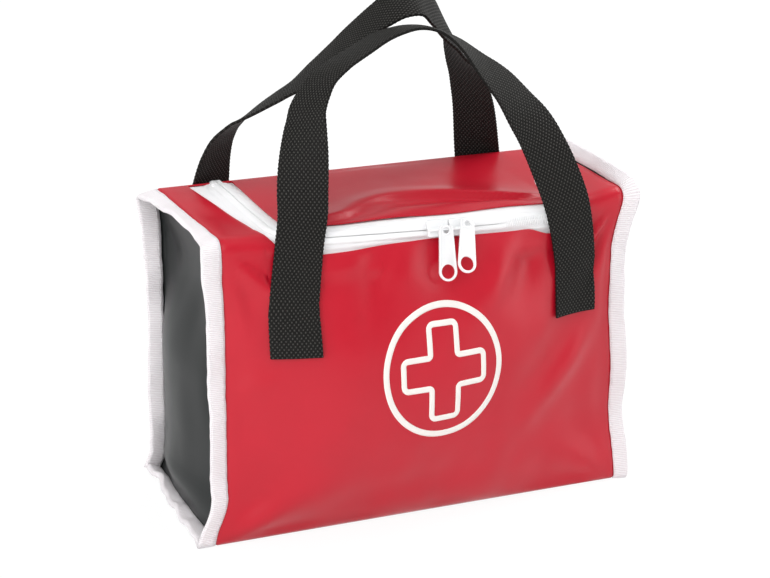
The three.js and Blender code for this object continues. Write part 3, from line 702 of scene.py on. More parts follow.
def twill_tape(name, colour, painted_shade):
    """Zip tape: fine herringbone, with a sewn line beside the teeth; painted shade darkens the twill's
    grooves, the sewn line and long random creases.
    """
    paint = Paint(name, IOR=1.45, Sheen_Weight=0.1, Sheen_Roughness=0.5)
    across, along = paint.chart()
    place = paint.place()
    twill = (along + across.size()).wave(TAPE_TWILL)
    lines = (across.size() - TAPE_SEAM).size() / TAPE_SEAM_WIDTH
    sewn = (1.0 - lines).most()
    crease = paint.noise(place, 140.0, 2.0)
    # The colour mixes towards the painted shade in the twill's grooves, along the sewn line and in random
    # creases.
    mask = twill * 0.14 + crease * 0.5 + 0.42 - sewn * 0.35
    tone = paint.colour_mix(mask, four(painted_shade), four(colour))
    height = twill * 0.5 + sewn * -0.9 + crease * 0.8
    return paint.finish(Base_Color=tone, Roughness=0.7, Normal=paint.bump(height, 0.12 * MM, 0.7))


def webbing_weave(name, colour, pale, pitch):
    """Plain-woven webbing: checkered knuckles of yarn, slightly uneven, with painted highlights on the
    knuckles and darker colour between them.
    """
    paint = Paint(name, IOR=1.5, Specular_IOR_Level=0.08)
    across, along = paint.chart()
    place = paint.place()
    wobble = paint.noise(place, 380.0, 2.0)
    checks = (across + wobble * (0.12 * MM)).wave(2 * pitch)
    checks = checks * (along + wobble * (0.3 * MM)).wave(2 * pitch * KNUCKLE_STRETCH)
    over = checks.most()
    under = (checks * -1.0).most()
    knuckle = over ** 1.7
    fibre = paint.noise(place, 1500.0, 2.0)
    # The knuckles' tops take the painted highlight colour, and the colour between them is darkened.
    mask = knuckle * 0.75 + fibre * 0.2
    tone = paint.colour_mix(mask, four(colour, 0.55), four(pale))
    height = knuckle + under * 0.35 + fibre * 0.12
    rough = 0.62 - knuckle * 0.2
    return paint.finish(Base_Color=tone, Roughness=rough, Normal=paint.bump(height, 0.32 * MM, 0.9))


def moulded(name, colour, roughness):
    """Moulded plastic or enamel with a faint orange peel and a slightly cloudy tone."""
    paint = Paint(name, IOR=1.5)
    place = paint.place()
    peel = paint.noise(place, 700.0, 2.0)
    clouds = paint.noise(place, 160.0, 3.0)
    tone = paint.colour_mix(clouds, four(colour, 0.93), four(colour))
    rough = clouds * 0.12 + (roughness - 0.06)
    return paint.finish(Base_Color=tone, Roughness=rough, Normal=paint.bump(peel, 0.03 * MM, 0.4))


def printed_film(name, colour):
    """Screen print that has taken the cloth's grain."""
    paint = Paint(name, IOR=1.48)
    place = paint.place()
    grain = paint.noise(place, 1100.0, 3.0)
    clouds = paint.noise(place, 90.0, 3.0)
    tone = paint.colour_mix(clouds, four(colour, 0.95), four(colour))
    rough = grain * 0.12 + 0.44
    return paint.finish(Base_Color=tone, Roughness=rough, Normal=paint.bump(grain, 0.03 * MM, 0.5))


def thread_paint(name, colour):
    """Twisted sewing thread."""
    paint = Paint(name, IOR=1.45)
    twist = paint.noise(paint.place(), 2200.0, 2.0)
    tone = paint.colour_mix(twist, four(colour, 0.8), four(colour))
    return paint.finish(Base_Color=tone, Roughness=0.6, Normal=paint.bump(twist, 0.05 * MM, 0.6))


def length_property(label, note, value):
    """A length that is given in millimetres."""
    return FloatProperty(name=label, description=note, default=value * MM, unit="LENGTH")


class CaseSizes(bpy.types.PropertyGroup):
    """Sizes of the finishes that a user would change."""

    rib_pitch: length_property("Rib pitch", "Distance between the binding's ribs", 1.0)
    weave_pitch: length_property("Weave pitch", "Size of one knuckle of the webbing", 1.05)
    tooth_pitch: length_property("Tooth pitch", "Distance between zip teeth", 1.05)
    stitch_pitch: length_property("Stitch pitch", "Length of a stitch and its gap", 3.0)
    lid_crown: length_property("Lid crown", "Height of the lid's folds, per unit of their table", 1.25)
    print_line: length_property("Print line", "Width of the printed ring's line", 3.3)


def colour_property(label, value):
    return FloatVectorProperty(
        name=label, description="Colour of the " + label.lower(), default=value, subtype="COLOR", size=3
    )


class CaseColours(bpy.types.PropertyGroup):
    """Colours of the case's materials, in linear light."""

    red: colour_property("Red cloth", (0.50, 0.003, 0.016))
    red_pale: colour_property("Red cloth's sheen", (0.55, 0.008, 0.026))
    dark: colour_property("Side cloth", (0.015, 0.017, 0.017))
    dark_pale: colour_property("Side cloth's sheen", (0.022, 0.024, 0.024))
    binding: colour_property("Binding", (0.92, 0.9, 0.915))
    # Painted shade, mixed in where the binding's ribs have grooves
    binding_painted_shade: colour_property("Binding's painted groove shade", (0.74, 0.67, 0.70))
    tape: colour_property("Zip tape", (0.9, 0.9, 0.91))
    # Painted shade for the zip tape's grooves, creases and sewn line
    tape_painted_shade: colour_property("Zip tape's painted groove shade", (0.90, 0.91, 0.92))
    teeth: colour_property("Zip teeth", (0.93, 0.93, 0.94))
    slider: colour_property("Sliders", (0.86, 0.87, 0.88))
    pull: colour_property("Pulls", (0.87, 0.87, 0.88))
    webbing: colour_property("Webbing", (0.004, 0.004, 0.004))
    # Painted highlights on the tops of the webbing's knuckles
    webbing_painted_highlight: colour_property("Webbing's painted knuckle highlights", (0.092, 0.089, 0.082))
    ink: colour_property("Print", (0.88, 0.84, 0.80))


def settings():
    return bpy.context.scene.toy_case_sizes


def colours():
    return bpy.context.scene.toy_case_colours


def patch(bm, columns, rows, place, chart):
    """A grid of the given columns and rows, moved into place; chart gives each corner's map."""
    made = bmesh.ops.create_grid(bm, x_segments=columns, y_segments=rows, size=1.0)
    layer = bm.loops.layers.uv.get("chart") or bm.loops.layers.uv.new("chart")
    where = {}
    for vert in made["verts"]:
        i = round((vert.co.x + 1) / 2 * columns)
        j = round((vert.co.y + 1) / 2 * rows)
        where[vert] = (i, j)
    faces = {face for vert in made["verts"] for face in vert.link_faces}
    for face in faces:
        face.smooth = True
        for loop in face.loops:
            loop[layer].uv = chart(*where[loop.vert])
    for vert, (i, j) in where.items():
        vert.co = place(i, j)


def piece(name, bm, material, body, replaced=(), weld=0.02 * MM):
    """Turns a mesh into a piece of one material, which rides on a body if one is given."""
    if weld:
        bmesh.ops.remove_doubles(bm, verts=bm.verts, dist=weld)
    bmesh.ops.recalc_face_normals(bm, faces=bm.faces)
    mesh = bpy.data.meshes.new(name)
    bm.to_mesh(mesh)
    bm.free()
    made = bpy.data.objects.new(name, mesh)
    bpy.context.scene.collection.objects.link(made)
    made.data.materials.append(material)
    if body:
        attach(made, body)
    if replaced:
        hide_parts(*replaced)
    return made


def thicken(made, thickness, offset, bevel=0.0):
    """Gives a sheet its thickness, inwards at an offset of -1 and to both sides at 0. A bevel softens it."""
    wall = made.modifiers.new("Wall", "SOLIDIFY")
    wall.thickness = thickness
    wall.offset = offset
    wall.use_even_offset = True
    if bevel:
        edge = made.modifiers.new("Edge", "BEVEL")
        edge.width = bevel
        edge.segments = 2
        edge.limit_method = "ANGLE"
        edge.angle_limit = math.radians(50)


def declare(made, width, length):
    """Sums a sheet's face area and takes the smaller of it and the given width times length; the result is
    not used.
    """
    area = sum(face.area for face in made.data.polygons)
    min(area, width * length)


def column_stops(reach, arc_count, more=()):
    """Stops across the case: even ones, closer ones round the zip's corners, and more outside those."""
    arc = [ZIP_CORNER_X + reach * math.sin(turn) for turn in steps(0, math.pi / 2, arc_count)]
    half = steps(0, ZIP_CORNER_X, 27)[1:] + arc[1:] + list(more)
    return [-x for x in reversed(half)] + [0.0] + half


def front_top(x):
    """Where the front cloth ends below the zip, or meets the strips beside it."""
    past = abs(x) - ZIP_CORNER_X
    reach = ZIP_RADIUS + BAG_REACH
    if past <= 0:
        return ZIP_U - bag_reach(x)
    if past >= reach:
        return ZIP_CORNER_U
    return ZIP_CORNER_U - math.sqrt(reach ** 2 - past ** 2)


class TOYCASE_OT_bag_cloth(bpy.types.Operator):
    """One sheet of red cloth: front, strips beside the zip, back and bottom"""

    bl_idname = "toycase.bag_cloth"
    bl_label = "Bag cloth"

    def execute(self, context):
        bm = bmesh.new()
        edge = ZIP_CORNER_X + ZIP_RADIUS + BAG_REACH
        seam = [SEAM_X + past * MM for past in (0.8, 2.5, 4, 5.6)] + [SEAM_X + LAYER_END]
        strip = steps(edge, SEAM_X - SEAM_STEP, 10) + seam
        xs = column_stops(ZIP_RADIUS + BAG_REACH, 12, strip[1:])
        beside = steps(ZIP_CORNER_U, TOP_END, 30)
        rest = steps(TOP_END, BACK_START, 8) + steps(BACK_START, BACK_FOOT, 58)[1:]
        rest += steps(BACK_FOOT, LOOP, 36)[1:]
        front_rows = 62
        self.panel(bm, xs, front_rows, lambda i, j: front_top(xs[i]) * j / front_rows)
        for hand in (-1, 1):
            columns = [hand * x for x in strip]
            self.panel(bm, columns, len(beside) - 1, lambda i, j: beside[j])
        self.panel(bm, xs, len(rest) - 1, lambda i, j: rest[j])
        shades = colours()
        cloth = coated_cloth("red_coated_cloth", shades.red, 0.33, shades.red_pale, 0.42)
        replaced = ("front_panel", "back_panel", "bottom_panel", "left_top_strip", "right_top_strip")
        made = piece("bag_cloth", bm, cloth, "bag", replaced)
        declare(made, 2 * (SEAM_X + LAYER_END), LOOP)
        thicken(made, CLOTH, -1.0, CLOTH_EDGE)
        return {"FINISHED"}

    def panel(self, bm, columns, rows, length_at):
        """Part of the cloth over the given columns; length_at gives each corner's length along the cloth."""
        patch(
            bm, len(columns) - 1, rows,
            lambda i, j: cloth_point(columns[i], length_at(i, j)),
            lambda i, j: (columns[i], length_at(i, j)),
        )


def lid_front(x):
    """Where the lid cloth ends behind the zip."""
    reach = ZIP_RADIUS - LID_REACH
    past = max(0.0, abs(x) - ZIP_CORNER_X)
    return ZIP_CORNER_U - math.sqrt(max(0.0, reach ** 2 - past ** 2))


# The lid's long fold: where its crest runs, as places across and along the lid in mm
CREST = [
    (-90, -38), (-70, -37), (-42, -33), (-27, -20), (-15, -14.8), (-2, -13.6), (12, -15.7), (28, -21.5),
    (43, -29), (58, -35), (90, -36),
]
# The fold's height at places before and behind its crest, in mm and in crowns, on the right and on the left
FOLD_RIGHT = [
    (-42, 0), (-37, 0.6), (-32, 1.3), (-28, 1.5), (-22, 0.9), (-15, 0.2), (-10, 0.15), (-6.5, 1.0), (-3, 2.6),
    (-1.2, 3.15), (0.5, 3.25), (2.5, 3.15), (6, 2.8), (10, 2.35), (14, 2.05), (20, 1.75), (30, 1.3),
    (44, 0.75), (58, 0.2), (80, 0),
]
FOLD_LEFT = [
    (-42, 0), (-35, 0.5), (-27, 0.2), (-19, 0.3), (-10, 1.7), (-3, 3.1), (0, 3.3), (3, 3.05), (8, 2.5),
    (14, 1.9), (20, 1.4), (30, 0.8), (44, 0.4), (60, 0.1), (80, 0),
]


def lid_rise(x, y, crown):
    """How high the lid's cloth stands; the fold's front end is stretched to meet the lid's front edge."""
    side = max(0.0, 1 - (abs(x) / (ZIP_X - LID_REACH)) ** 6)
    crest = course(CREST, x / MM)
    front = -HALF_DEPTH / MM + 4
    past = y / MM - crest
    if past < 0:
        past *= -FOLD_RIGHT[0][0] / (crest - front)
    left = smooth((-x / MM - 2) / 30)
    fold = lerp(course(FOLD_RIGHT, past), course(FOLD_LEFT, past), left)
    tame = 1 - 0.5 * smooth((-x / MM - 48) / 20)
    clouds = 0.25 * noise.noise(Vector((x / (26 * MM), y / (24 * MM), 6.2)))
    edge = smooth((y / MM - front) / 4) * smooth((HALF_DEPTH - EDGE_RADIUS - y) / (7 * MM))
    return crown * side * edge * (fold * tame + clouds)


class TOYCASE_OT_lid_cloth(bpy.types.Operator):
    """The lid's red cloth, which folds along the back"""

    bl_idname = "toycase.lid_cloth"
    bl_label = "Lid cloth"

    def execute(self, context):
        bm = bmesh.new()
        xs = column_stops(ZIP_RADIUS - LID_REACH, 6)
        rows = 60
        crown = settings().lid_crown

        def place(i, j):
            share = j / rows
            wave = 0.5 * MM * math.sin(xs[i] / (9 * MM)) + 0.4 * MM * math.sin(xs[i] / (21 * MM) + 1)
            start = lid_front(xs[i]) - wave * (1 - smooth(share / 0.3))
            u = lerp(start, TOP_END, share)
            wide = smooth((xs[i] - 50 * MM) / (20 * MM)) * smooth((u - TOP_START - 30 * MM) / (40 * MM))
            x, u = askew(xs[i] + LID_SPREAD * wide, u)
            return around(x, u, lid_rise(x, u - TOP_START - HALF_DEPTH + EDGE_RADIUS, crown))

        def chart(i, j):
            return xs[i], lerp(lid_front(xs[i]), TOP_END, j / rows)

        patch(bm, len(xs) - 1, rows, place, chart)
        cloth = bpy.data.materials["red_coated_cloth"]
        made = piece("lid_cloth", bm, cloth, "lid", ("lid_panel",))
        declare(made, 2 * (ZIP_X - LID_REACH), TOP_END - ZIP_U)
        thicken(made, CLOTH, -1.0, CLOTH_EDGE)
        return {"FINISHED"}


# Heights and half widths of the side cloth's sag, belly and paunch
SAG_HEIGHT = 128 * MM
SAG_WIDTH = 22 * MM
BELLY_START = 20 * MM
BELLY_END = 80 * MM
BELLY_FADE = 45 * MM
PAUNCH_HEIGHT = 11 * MM
PAUNCH_WIDTH = 13 * MM

# Dents of the side cloth: place back from the middle and up, width, height and depth in mm
SIDE_DENTS = [(-36, 74, 10, 14, 1.6), (33, 128, 9, 12, 1.4)]


class TOYCASE_OT_side_cloth(bpy.types.Operator):
    """Dark side panels that swell low down, sag near the top and turn out into the bound seams"""

    bl_idname = "toycase.side_cloth"
    bl_label = "Side cloth"

    sag: length_property("Sag", "How far a side sags in near its top", 4)
    belly: length_property("Belly", "How far its lower half bulges out", 8.6)
    paunch: length_property("Paunch", "A further bulge by the foot", 2)

    def execute(self, context):
        shades = colours()
        cloth = coated_cloth("dark_coated_cloth", shades.dark, 0.34, shades.dark_pale, 0.2)
        for side, hand in SIDES.items():
            bm = bmesh.new()
            columns, rows = 34, 52
            rim = HALF_DEPTH - SIDE_FLANGE
            foot = SIDE_FLANGE
            roof = TOP - SIDE_FLANGE
            corner = EDGE_RADIUS - SIDE_FLANGE

            def place(i, j):
                y = lerp(-rim, rim, i / columns)
                past = max(0.0, abs(y) - (rim - corner))
                high = roof - corner + math.sqrt(max(0.0, corner ** 2 - past ** 2))
                z = lerp(foot, high, j / rows)
                edge = smooth(min(rim - abs(y), z - foot, high - z) / (7 * MM))
                across = max(0.0, 1 - (y / rim) ** 2)
                rearward = across * (1 + 0.5 * y / rim)
                sag = self.sag * across * bell(z, SAG_HEIGHT, SAG_WIDTH)
                belly = self.belly * rearward * between(z, 0, BELLY_END, BELLY_START, BELLY_FADE)
                paunch = self.paunch * across ** 0.5 * bell(z, PAUNCH_HEIGHT, PAUNCH_WIDTH)
                dents = sum(
                    deep * bell(y, at_y * MM, wide * MM) * bell(z, at_z * MM, high * MM)
                    for at_y, at_z, wide, high, deep in SIDE_DENTS
                )
                clouds = noise.noise(Vector((y / (17 * MM), z / (38 * MM), 4.4 * hand)))
                x = SEAM_X - SIDE_CLOTH / 2 - sag + belly + paunch - edge * (dents + 0.6 * clouds) * MM
                return slumped(Vector((hand * (x - drawn_in(hand, y, z)), y, z)))

            patch(bm, columns, rows, place, lambda i, j: (place(i, j).y, place(i, j).z))
            rims = [edge for edge in bm.edges if edge.is_boundary]
            grown = bmesh.ops.extrude_edge_only(bm, edges=rims)["geom"]
            verts = [part for part in grown if isinstance(part, bmesh.types.BMVert)]
            for vert in verts:
                vert.co = in_fin(hand, LAYER_END, seam_length(vert.co), -SIDE_FLANGE)
            made = piece(side + "_side_cloth", bm, cloth, "bag", (side + "_side_panel",))
            declare(made, 2 * (HALF_DEPTH + LAYER_END), TOP + 2 * LAYER_END)
            thicken(made, SIDE_CLOTH, 0.0)
            made.data.shade_smooth()
        return {"FINISHED"}


def seam_length(point):
    """Length along the cloth of the seam point nearest to a point of the side panel's rim."""
    front = abs(point.y + HALF_DEPTH)
    back = abs(point.y - HALF_DEPTH)
    low = abs(point.z)
    high = abs(point.z - TOP)
    nearest = min(front, back, low, high)
    if nearest == front:
        return point.z
    if nearest == back:
        return BACK_FOOT - point.z
    if nearest == high:
        return TOP_START + point.y + HALF_DEPTH - EDGE_RADIUS
    return BACK_FOOT + HALF_DEPTH - point.y


def binding_section():
    """The folded binding's closed section: distance out from the seam, and depth from the outer face."""
    half = FIN_INNER / 2
    fold = FIN_WIDTH - BINDING_FOLD
    outer = [(BINDING_START, 0.0), (3 * MM, 0.12 * MM), (5.2 * MM, 0.1 * MM), (fold, 0.0)]
    turns = steps(0, math.pi, 8)[1:-1]
    round_out = [(fold + BINDING_FOLD * math.sin(a), half * math.cos(a) - half) for a in turns]
    under = [(s, -FIN_INNER - n) for s, n in reversed(outer)]
    inner = [(s, -FIN_INNER + BINDING) for s, _ in outer]
    roof = [(s, n - BINDING) for s, n in reversed(outer)]
    return outer + round_out + under + inner + [(fold, -half)] + roof


class TOYCASE_OT_bindings(bpy.types.Operator):
    """White ribbed binding folded round each side seam"""

    bl_idname = "toycase.bindings"
    bl_label = "Bindings"

    def execute(self, context):
        shades = colours()
        tape = ribbed_tape("ribbed_binding", shades.binding, shades.binding_painted_shade, settings().rib_pitch)
        section = binding_section()
        count = len(section)
        stations = 300
        lengths = [0.0]
        for k in range(count):
            first, last = Vector(section[k]), Vector(section[(k + 1) % count])
            lengths.append(lengths[-1] + (last - first).length)
        for side, hand in SIDES.items():
            bm = bmesh.new()

            def place(i, j):
                s, n = section[i % count]
                u = LOOP * (j % stations) / stations
                seed = Vector((s / (5 * MM), u / (7 * MM), 9.0 * hand))
                puff = 0.22 * MM * noise.noise(seed)
                edge = 0.3 * MM * noise.noise(Vector((u / (5 * MM), 2.5 * hand, 0.0)))
                return in_fin(hand, s + edge, u, n + math.copysign(puff, n + FIN_INNER / 2))

            patch(bm, count, stations, place, lambda i, j: (lengths[i], LOOP * j / stations))
            replaced = [f"{side}_binding_{part}" for part in ("front", "top", "back", "bottom")]
            piece(side + "_binding", bm, tape, "bag", replaced)
        return {"FINISHED"}


def stitches(bm, points, radius, flat=0.6):
    """Small beads between each pair of points; flat is their height along the normal against their width."""
    for first, last, normal in points:
        made = bmesh.ops.create_uvsphere(bm, u_segments=6, v_segments=5, radius=1.0)["verts"]
        along = last - first
        side = normal.cross(along).normalized()
        base = Matrix((side * radius, normal.normalized() * radius * flat, along / 2)).transposed().to_4x4()
        base.translation = (first + last) / 2
        bmesh.ops.transform(bm, matrix=base, verts=made)


class TOYCASE_OT_seam_stitches(bpy.types.Operator):
    """White stitches that hold the bindings, on both faces of each seam"""

    bl_idname = "toycase.seam_stitches"
    bl_label = "Seam stitches"

    inset: length_property("Inset", "Distance from the binding's edge", 1.1)

    def execute(self, context):
        thread = thread_paint("white_thread", colours().binding)
        pitch = settings().stitch_pitch
        for side, hand in SIDES.items():
            bm = bmesh.new()
            runs = []
            count = int(LOOP / pitch)
            s = BINDING_START + self.inset
            for k in range(count):
                u = LOOP * k / count
                if min(u, LOOP - u, abs(u - BACK_FOOT)) < STITCH_FREE_CORNER:
                    continue
                for n, out in ((0.1 * MM, 1), (-FIN_INNER - 0.1 * MM, -1)):
                    first = in_fin(hand, s, u, n)
                    last = in_fin(hand, s, u + STITCH_SHARE * LOOP / count, n)
                    normal = (in_fin(hand, s, u, n + MM) - first) * out
                    runs.append((first, last, normal))
            stitches(bm, runs, STITCH_RADIUS)
            made = piece(side + "_seam_stitches", bm, thread, "bag", weld=0)
            made.data.shade_smooth()
        return {"FINISHED"}


def cover(d):
    """How far the tapes' edges fold over the teeth: fully on the left, and not at all far to the right."""
    x = zip_station(d)[0]
    return 1 - smooth((x - 33 * MM) / (16 * MM))


def tape_height(across, d):
    """The tape's outer face: over or beside the teeth, down under the cloth, with long creases."""
    start = TAPE_RIM
    if across > 0:
        start = min(start, bag_reach(zip_station(d)[0]) - 3.4 * MM)
    share = clamp((abs(across) - start) / (4 * MM))
    sway = noise.noise(Vector((d / (23 * MM), 1.0, 2.0)))
    crease = 0.18 * MM * math.sin(across / (0.62 * MM) + 2.2 * sway)
    crease *= between(abs(across), 3.2 * MM, 6 * MM, 1.2 * MM, 1.5 * MM)
    over = cover(d) * (1 - smooth((abs(across) - 2.3 * MM) / (1.1 * MM)))
    return (lerp(-0.25, -1.15, smooth(share)) + 1.2 * over) * MM + crease


class TOYCASE_OT_zip_tapes(bpy.types.Operator):
    """The zip's two white tapes, sewn under the bag's and the lid's cloth"""

    bl_idname = "toycase.zip_tapes"
    bl_label = "Zip tapes"

    def execute(self, context):
        shades = colours()
        tape = twill_tape("zip_tape_twill", shades.tape, shades.tape_painted_shade)
        stations = 230
        rows = 22
        for body, hand, reach in (("bag", 1, BAG_REACH), ("lid", -1, LID_REACH)):
            name = "tape_" + body
            bm = bmesh.new()
            widest = reach + TAPE_LAP

            def run(i):
                return lerp(-TAPE_END, ZIP_RUN + TAPE_END, i / stations)

            def across_at(i, j):
                x, u = zip_station(run(i))[:2]
                more = tape_spread(u) if hand > 0 and x < 0 else 0.0
                return lerp(0.15 * MM, widest + more, j / rows)

            def place(i, j):
                d = run(i)
                across = across_at(i, j)
                return zip_point(d, hand * across, tape_height(across, d))

            def chart(i, j):
                return hand * across_at(i, j), run(i)

            patch(bm, stations, rows, place, chart)
            made = piece(name, bm, tape, body, ("zip_" + name,), weld=0)
            thicken(made, TAPE, -1.0)
            turn_outwards(made)
        return {"FINISHED"}


def turn_outwards(made):
    """Turns an open sheet's faces so that they look away from the case."""
    centre = Vector((0, 0, TOP / 2))
    away = sum((face.center - centre).dot(face.normal) for face in made.data.polygons)
    if away < 0:
        made.data.flip_normals()


class TOYCASE_OT_zip_teeth(bpy.types.Operator):
    """Two rows of coil teeth that mesh along the zip's middle"""

    bl_idname = "toycase.zip_teeth"
    bl_label = "Zip teeth"

    def execute(self, context):
        plastic = moulded("zip_teeth_plastic", colours().teeth, 0.45)
        pitch = settings().tooth_pitch
        count = int(ZIP_RUN / pitch)
        for body, hand in (("bag", 1), ("lid", -1)):
            name = "teeth_" + body
            bm = bmesh.new()
            runs = []
            for k in range(count):
                d = (k + (0.25 if hand > 0 else 0.75)) * pitch
                sunk = TOOTH_SUNK * cover(d)
                first = zip_point(d, -hand * TOOTH_LAP, TOOTH_TIP_HEIGHT - sunk)
                last = zip_point(d, hand * TOOTH_REACH, TOOTH_ROOT_HEIGHT - sunk)
                normal = zip_point(d, hand * MM, MM) - zip_point(d, hand * MM, 0.0)
                runs.append((first, last, normal))
            stitches(bm, runs, TOOTH_RADIUS, 1.3)
            made = piece(name, bm, plastic, body, ("zip_coil_" + body,), weld=0)
            made.data.shade_smooth()
        return {"FINISHED"}


def bevelled_block(bm, low, high, bevel, segments=3):
    """A box between two corners with rounded edges."""
    made = bmesh.ops.create_cube(bm, size=1.0)["verts"]
    bmesh.ops.scale(bm, vec=high - low, verts=made)
    bmesh.ops.translate(bm, vec=(low + high) / 2, verts=made)
    edges = list(dict.fromkeys(edge for vert in made for edge in vert.link_edges))
    bmesh.ops.bevel(
        bm, geom=edges, offset=bevel, segments=segments, profile=0.5, affect="EDGES", material=-1,
        offset_type="OFFSET",
    )


def smooth_shade(made, angle=40):
    """Shades a moulded piece smooth, but for edges sharper than the angle in degrees."""
    made.data.shade_smooth()
    made.data.set_sharp_from_angle(angle=math.radians(angle))


class TOYCASE_OT_zip_stops(bpy.types.Operator):
    """Moulded stops at the zip's rear ends"""

    bl_idname = "toycase.zip_stops"
    bl_label = "Zip stops"

    def execute(self, context):
        plastic = bpy.data.materials["zip_teeth_plastic"]
        for side in SIDES:
            bm = bmesh.new()
            low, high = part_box(side + "_zip_stop")
            bevelled_block(bm, low, high, 0.6 * MM)
            middle = (low + high) / 2
            along = middle.y + TOP_START + HALF_DEPTH - EDGE_RADIUS
            aside = askew(middle.x, along)[0] - middle.x
            rise = slumped(middle.copy()).z - middle.z
            bmesh.ops.translate(bm, verts=bm.verts, vec=Vector((aside, 0, rise)))
            made = piece(side + "_stop", bm, plastic, "bag", (side + "_zip_stop",), weld=0)
            smooth_shade(made)
        return {"FINISHED"}


def zip_axes(x, far_x):
    """The zip's front run at x: place, and directions along, across upwards and outwards."""
    at = around(*askew(x, ZIP_U), 0)
    along = (around(*askew(far_x, ZIP_U), 0) - at).normalized()
    if along.x < 0:
        along.negate()
    up = around(x, ZIP_U + 0.3 * MM, 0) - around(x, ZIP_U - 0.3 * MM, 0)
    out = along.cross(up).normalized()
    return at, along, out.cross(along).normalized(), out


def axes_matrix(at, first, second, third):
    base = Matrix((first, second, third)).transposed().to_4x4()
    base.translation = at
    return base


def tube(bm, points, radius, sides=10):
    """A round bar along a short path, closed at its ends."""
    rings = []
    for k, point in enumerate(points):
        ahead = points[min(k + 1, len(points) - 1)] - points[max(k - 1, 0)]
        turn = ahead.to_track_quat("Z", "Y").to_matrix().to_4x4()
        turn.translation = point
        made = bmesh.ops.create_circle(bm, segments=sides, radius=radius, cap_ends=k in (0, len(points) - 1))
        bmesh.ops.transform(bm, matrix=turn, verts=made["verts"])
        rings.append(made["verts"])
    for pair in zip(rings, rings[1:]):
        edges = [e for ring in pair for e in dict.fromkeys(e for v in ring for e in v.link_edges)
                 if e.verts[0] in ring and e.verts[1] in ring]
        bmesh.ops.bridge_loops(bm, edges=edges)


class TOYCASE_OT_sliders(bpy.types.Operator):
    """White enamelled sliders with a bridge for the pull"""

    bl_idname = "toycase.sliders"
    bl_label = "Sliders"

    def execute(self, context):
        enamel = moulded("slider_enamel", colours().slider, 0.32)
        for side in SIDES:
            at, along, up, out = zip_axes(SLIDER_X[side], SIDES[side] * ZIP_CORNER_X)
            bm = bmesh.new()
            for low, high, bevel, segments in SLIDER_BLOCKS:
                bevelled_block(bm, Vector(low) * MM, Vector(high) * MM, bevel * MM, segments)
            rise = BRIDGE_HEIGHT - BRIDGE_FOOT
            arch = [
                Vector((BRIDGE_HALF * math.cos(a), -BRIDGE_DROP, BRIDGE_FOOT + rise * math.sin(a) ** 0.5))
                for a in steps(math.pi, 0, 14)
            ]
            tube(bm, arch, BRIDGE_BAR)
            bmesh.ops.transform(bm, matrix=axes_matrix(at, along, up, out), verts=bm.verts)
            body = side + "_slider"
            made = piece(body + "_body", bm, enamel, body, (body,), weld=0)
            smooth_shade(made)
        return {"FINISHED"}


def tab_outline(count):
    """The pull's outline, from its neck down one side and round its end, in its own plane."""
    side = [Vector((PULL_NECK * 0.7, 2.6 * MM, 0)), Vector((PULL_NECK, 1.8 * MM, 0))]
    side += [Vector((lerp(PULL_NECK, PULL_RADIUS, t), PULL_END * t, 0)) for t in steps(0, 1, 6)]
    other_side = [Vector((-point.x, point.y, 0)) for point in reversed(side)]
    return side + oval(PULL_RADIUS, -PULL_RADIUS, PULL_END, steps(0, math.pi, count)[1:-1]) + other_side


def oval(across, up, middle, turns):
    """Points of an oval round a middle at a height, in the pull's plane."""
    return [Vector((across * math.cos(a), middle + up * math.sin(a), 0)) for a in turns]


def inwards(point):
    """A point of the pull's outline, moved in to the middle of its raised rim."""
    centre = Vector((0, PULL_END, 0))
    if point.y < centre.y:
        return point + (centre - point).normalized() * PULL_RIM_INSET
    return point - Vector((math.copysign(PULL_RIM_INSET, point.x), 0, 0))


def wider(loop, height, share):
    """A closed path round an opening of the pull, grown by a share round its middle."""
    middle = Vector((0, height, 0))
    path = [middle + (point - middle) * share for point in loop]
    return path + [path[0]]


def closed_loop(bm, points):
    verts = [bm.verts.new(point) for point in points]
    return [bm.edges.new((verts[k], verts[(k + 1) % len(verts)])) for k in range(len(verts))]


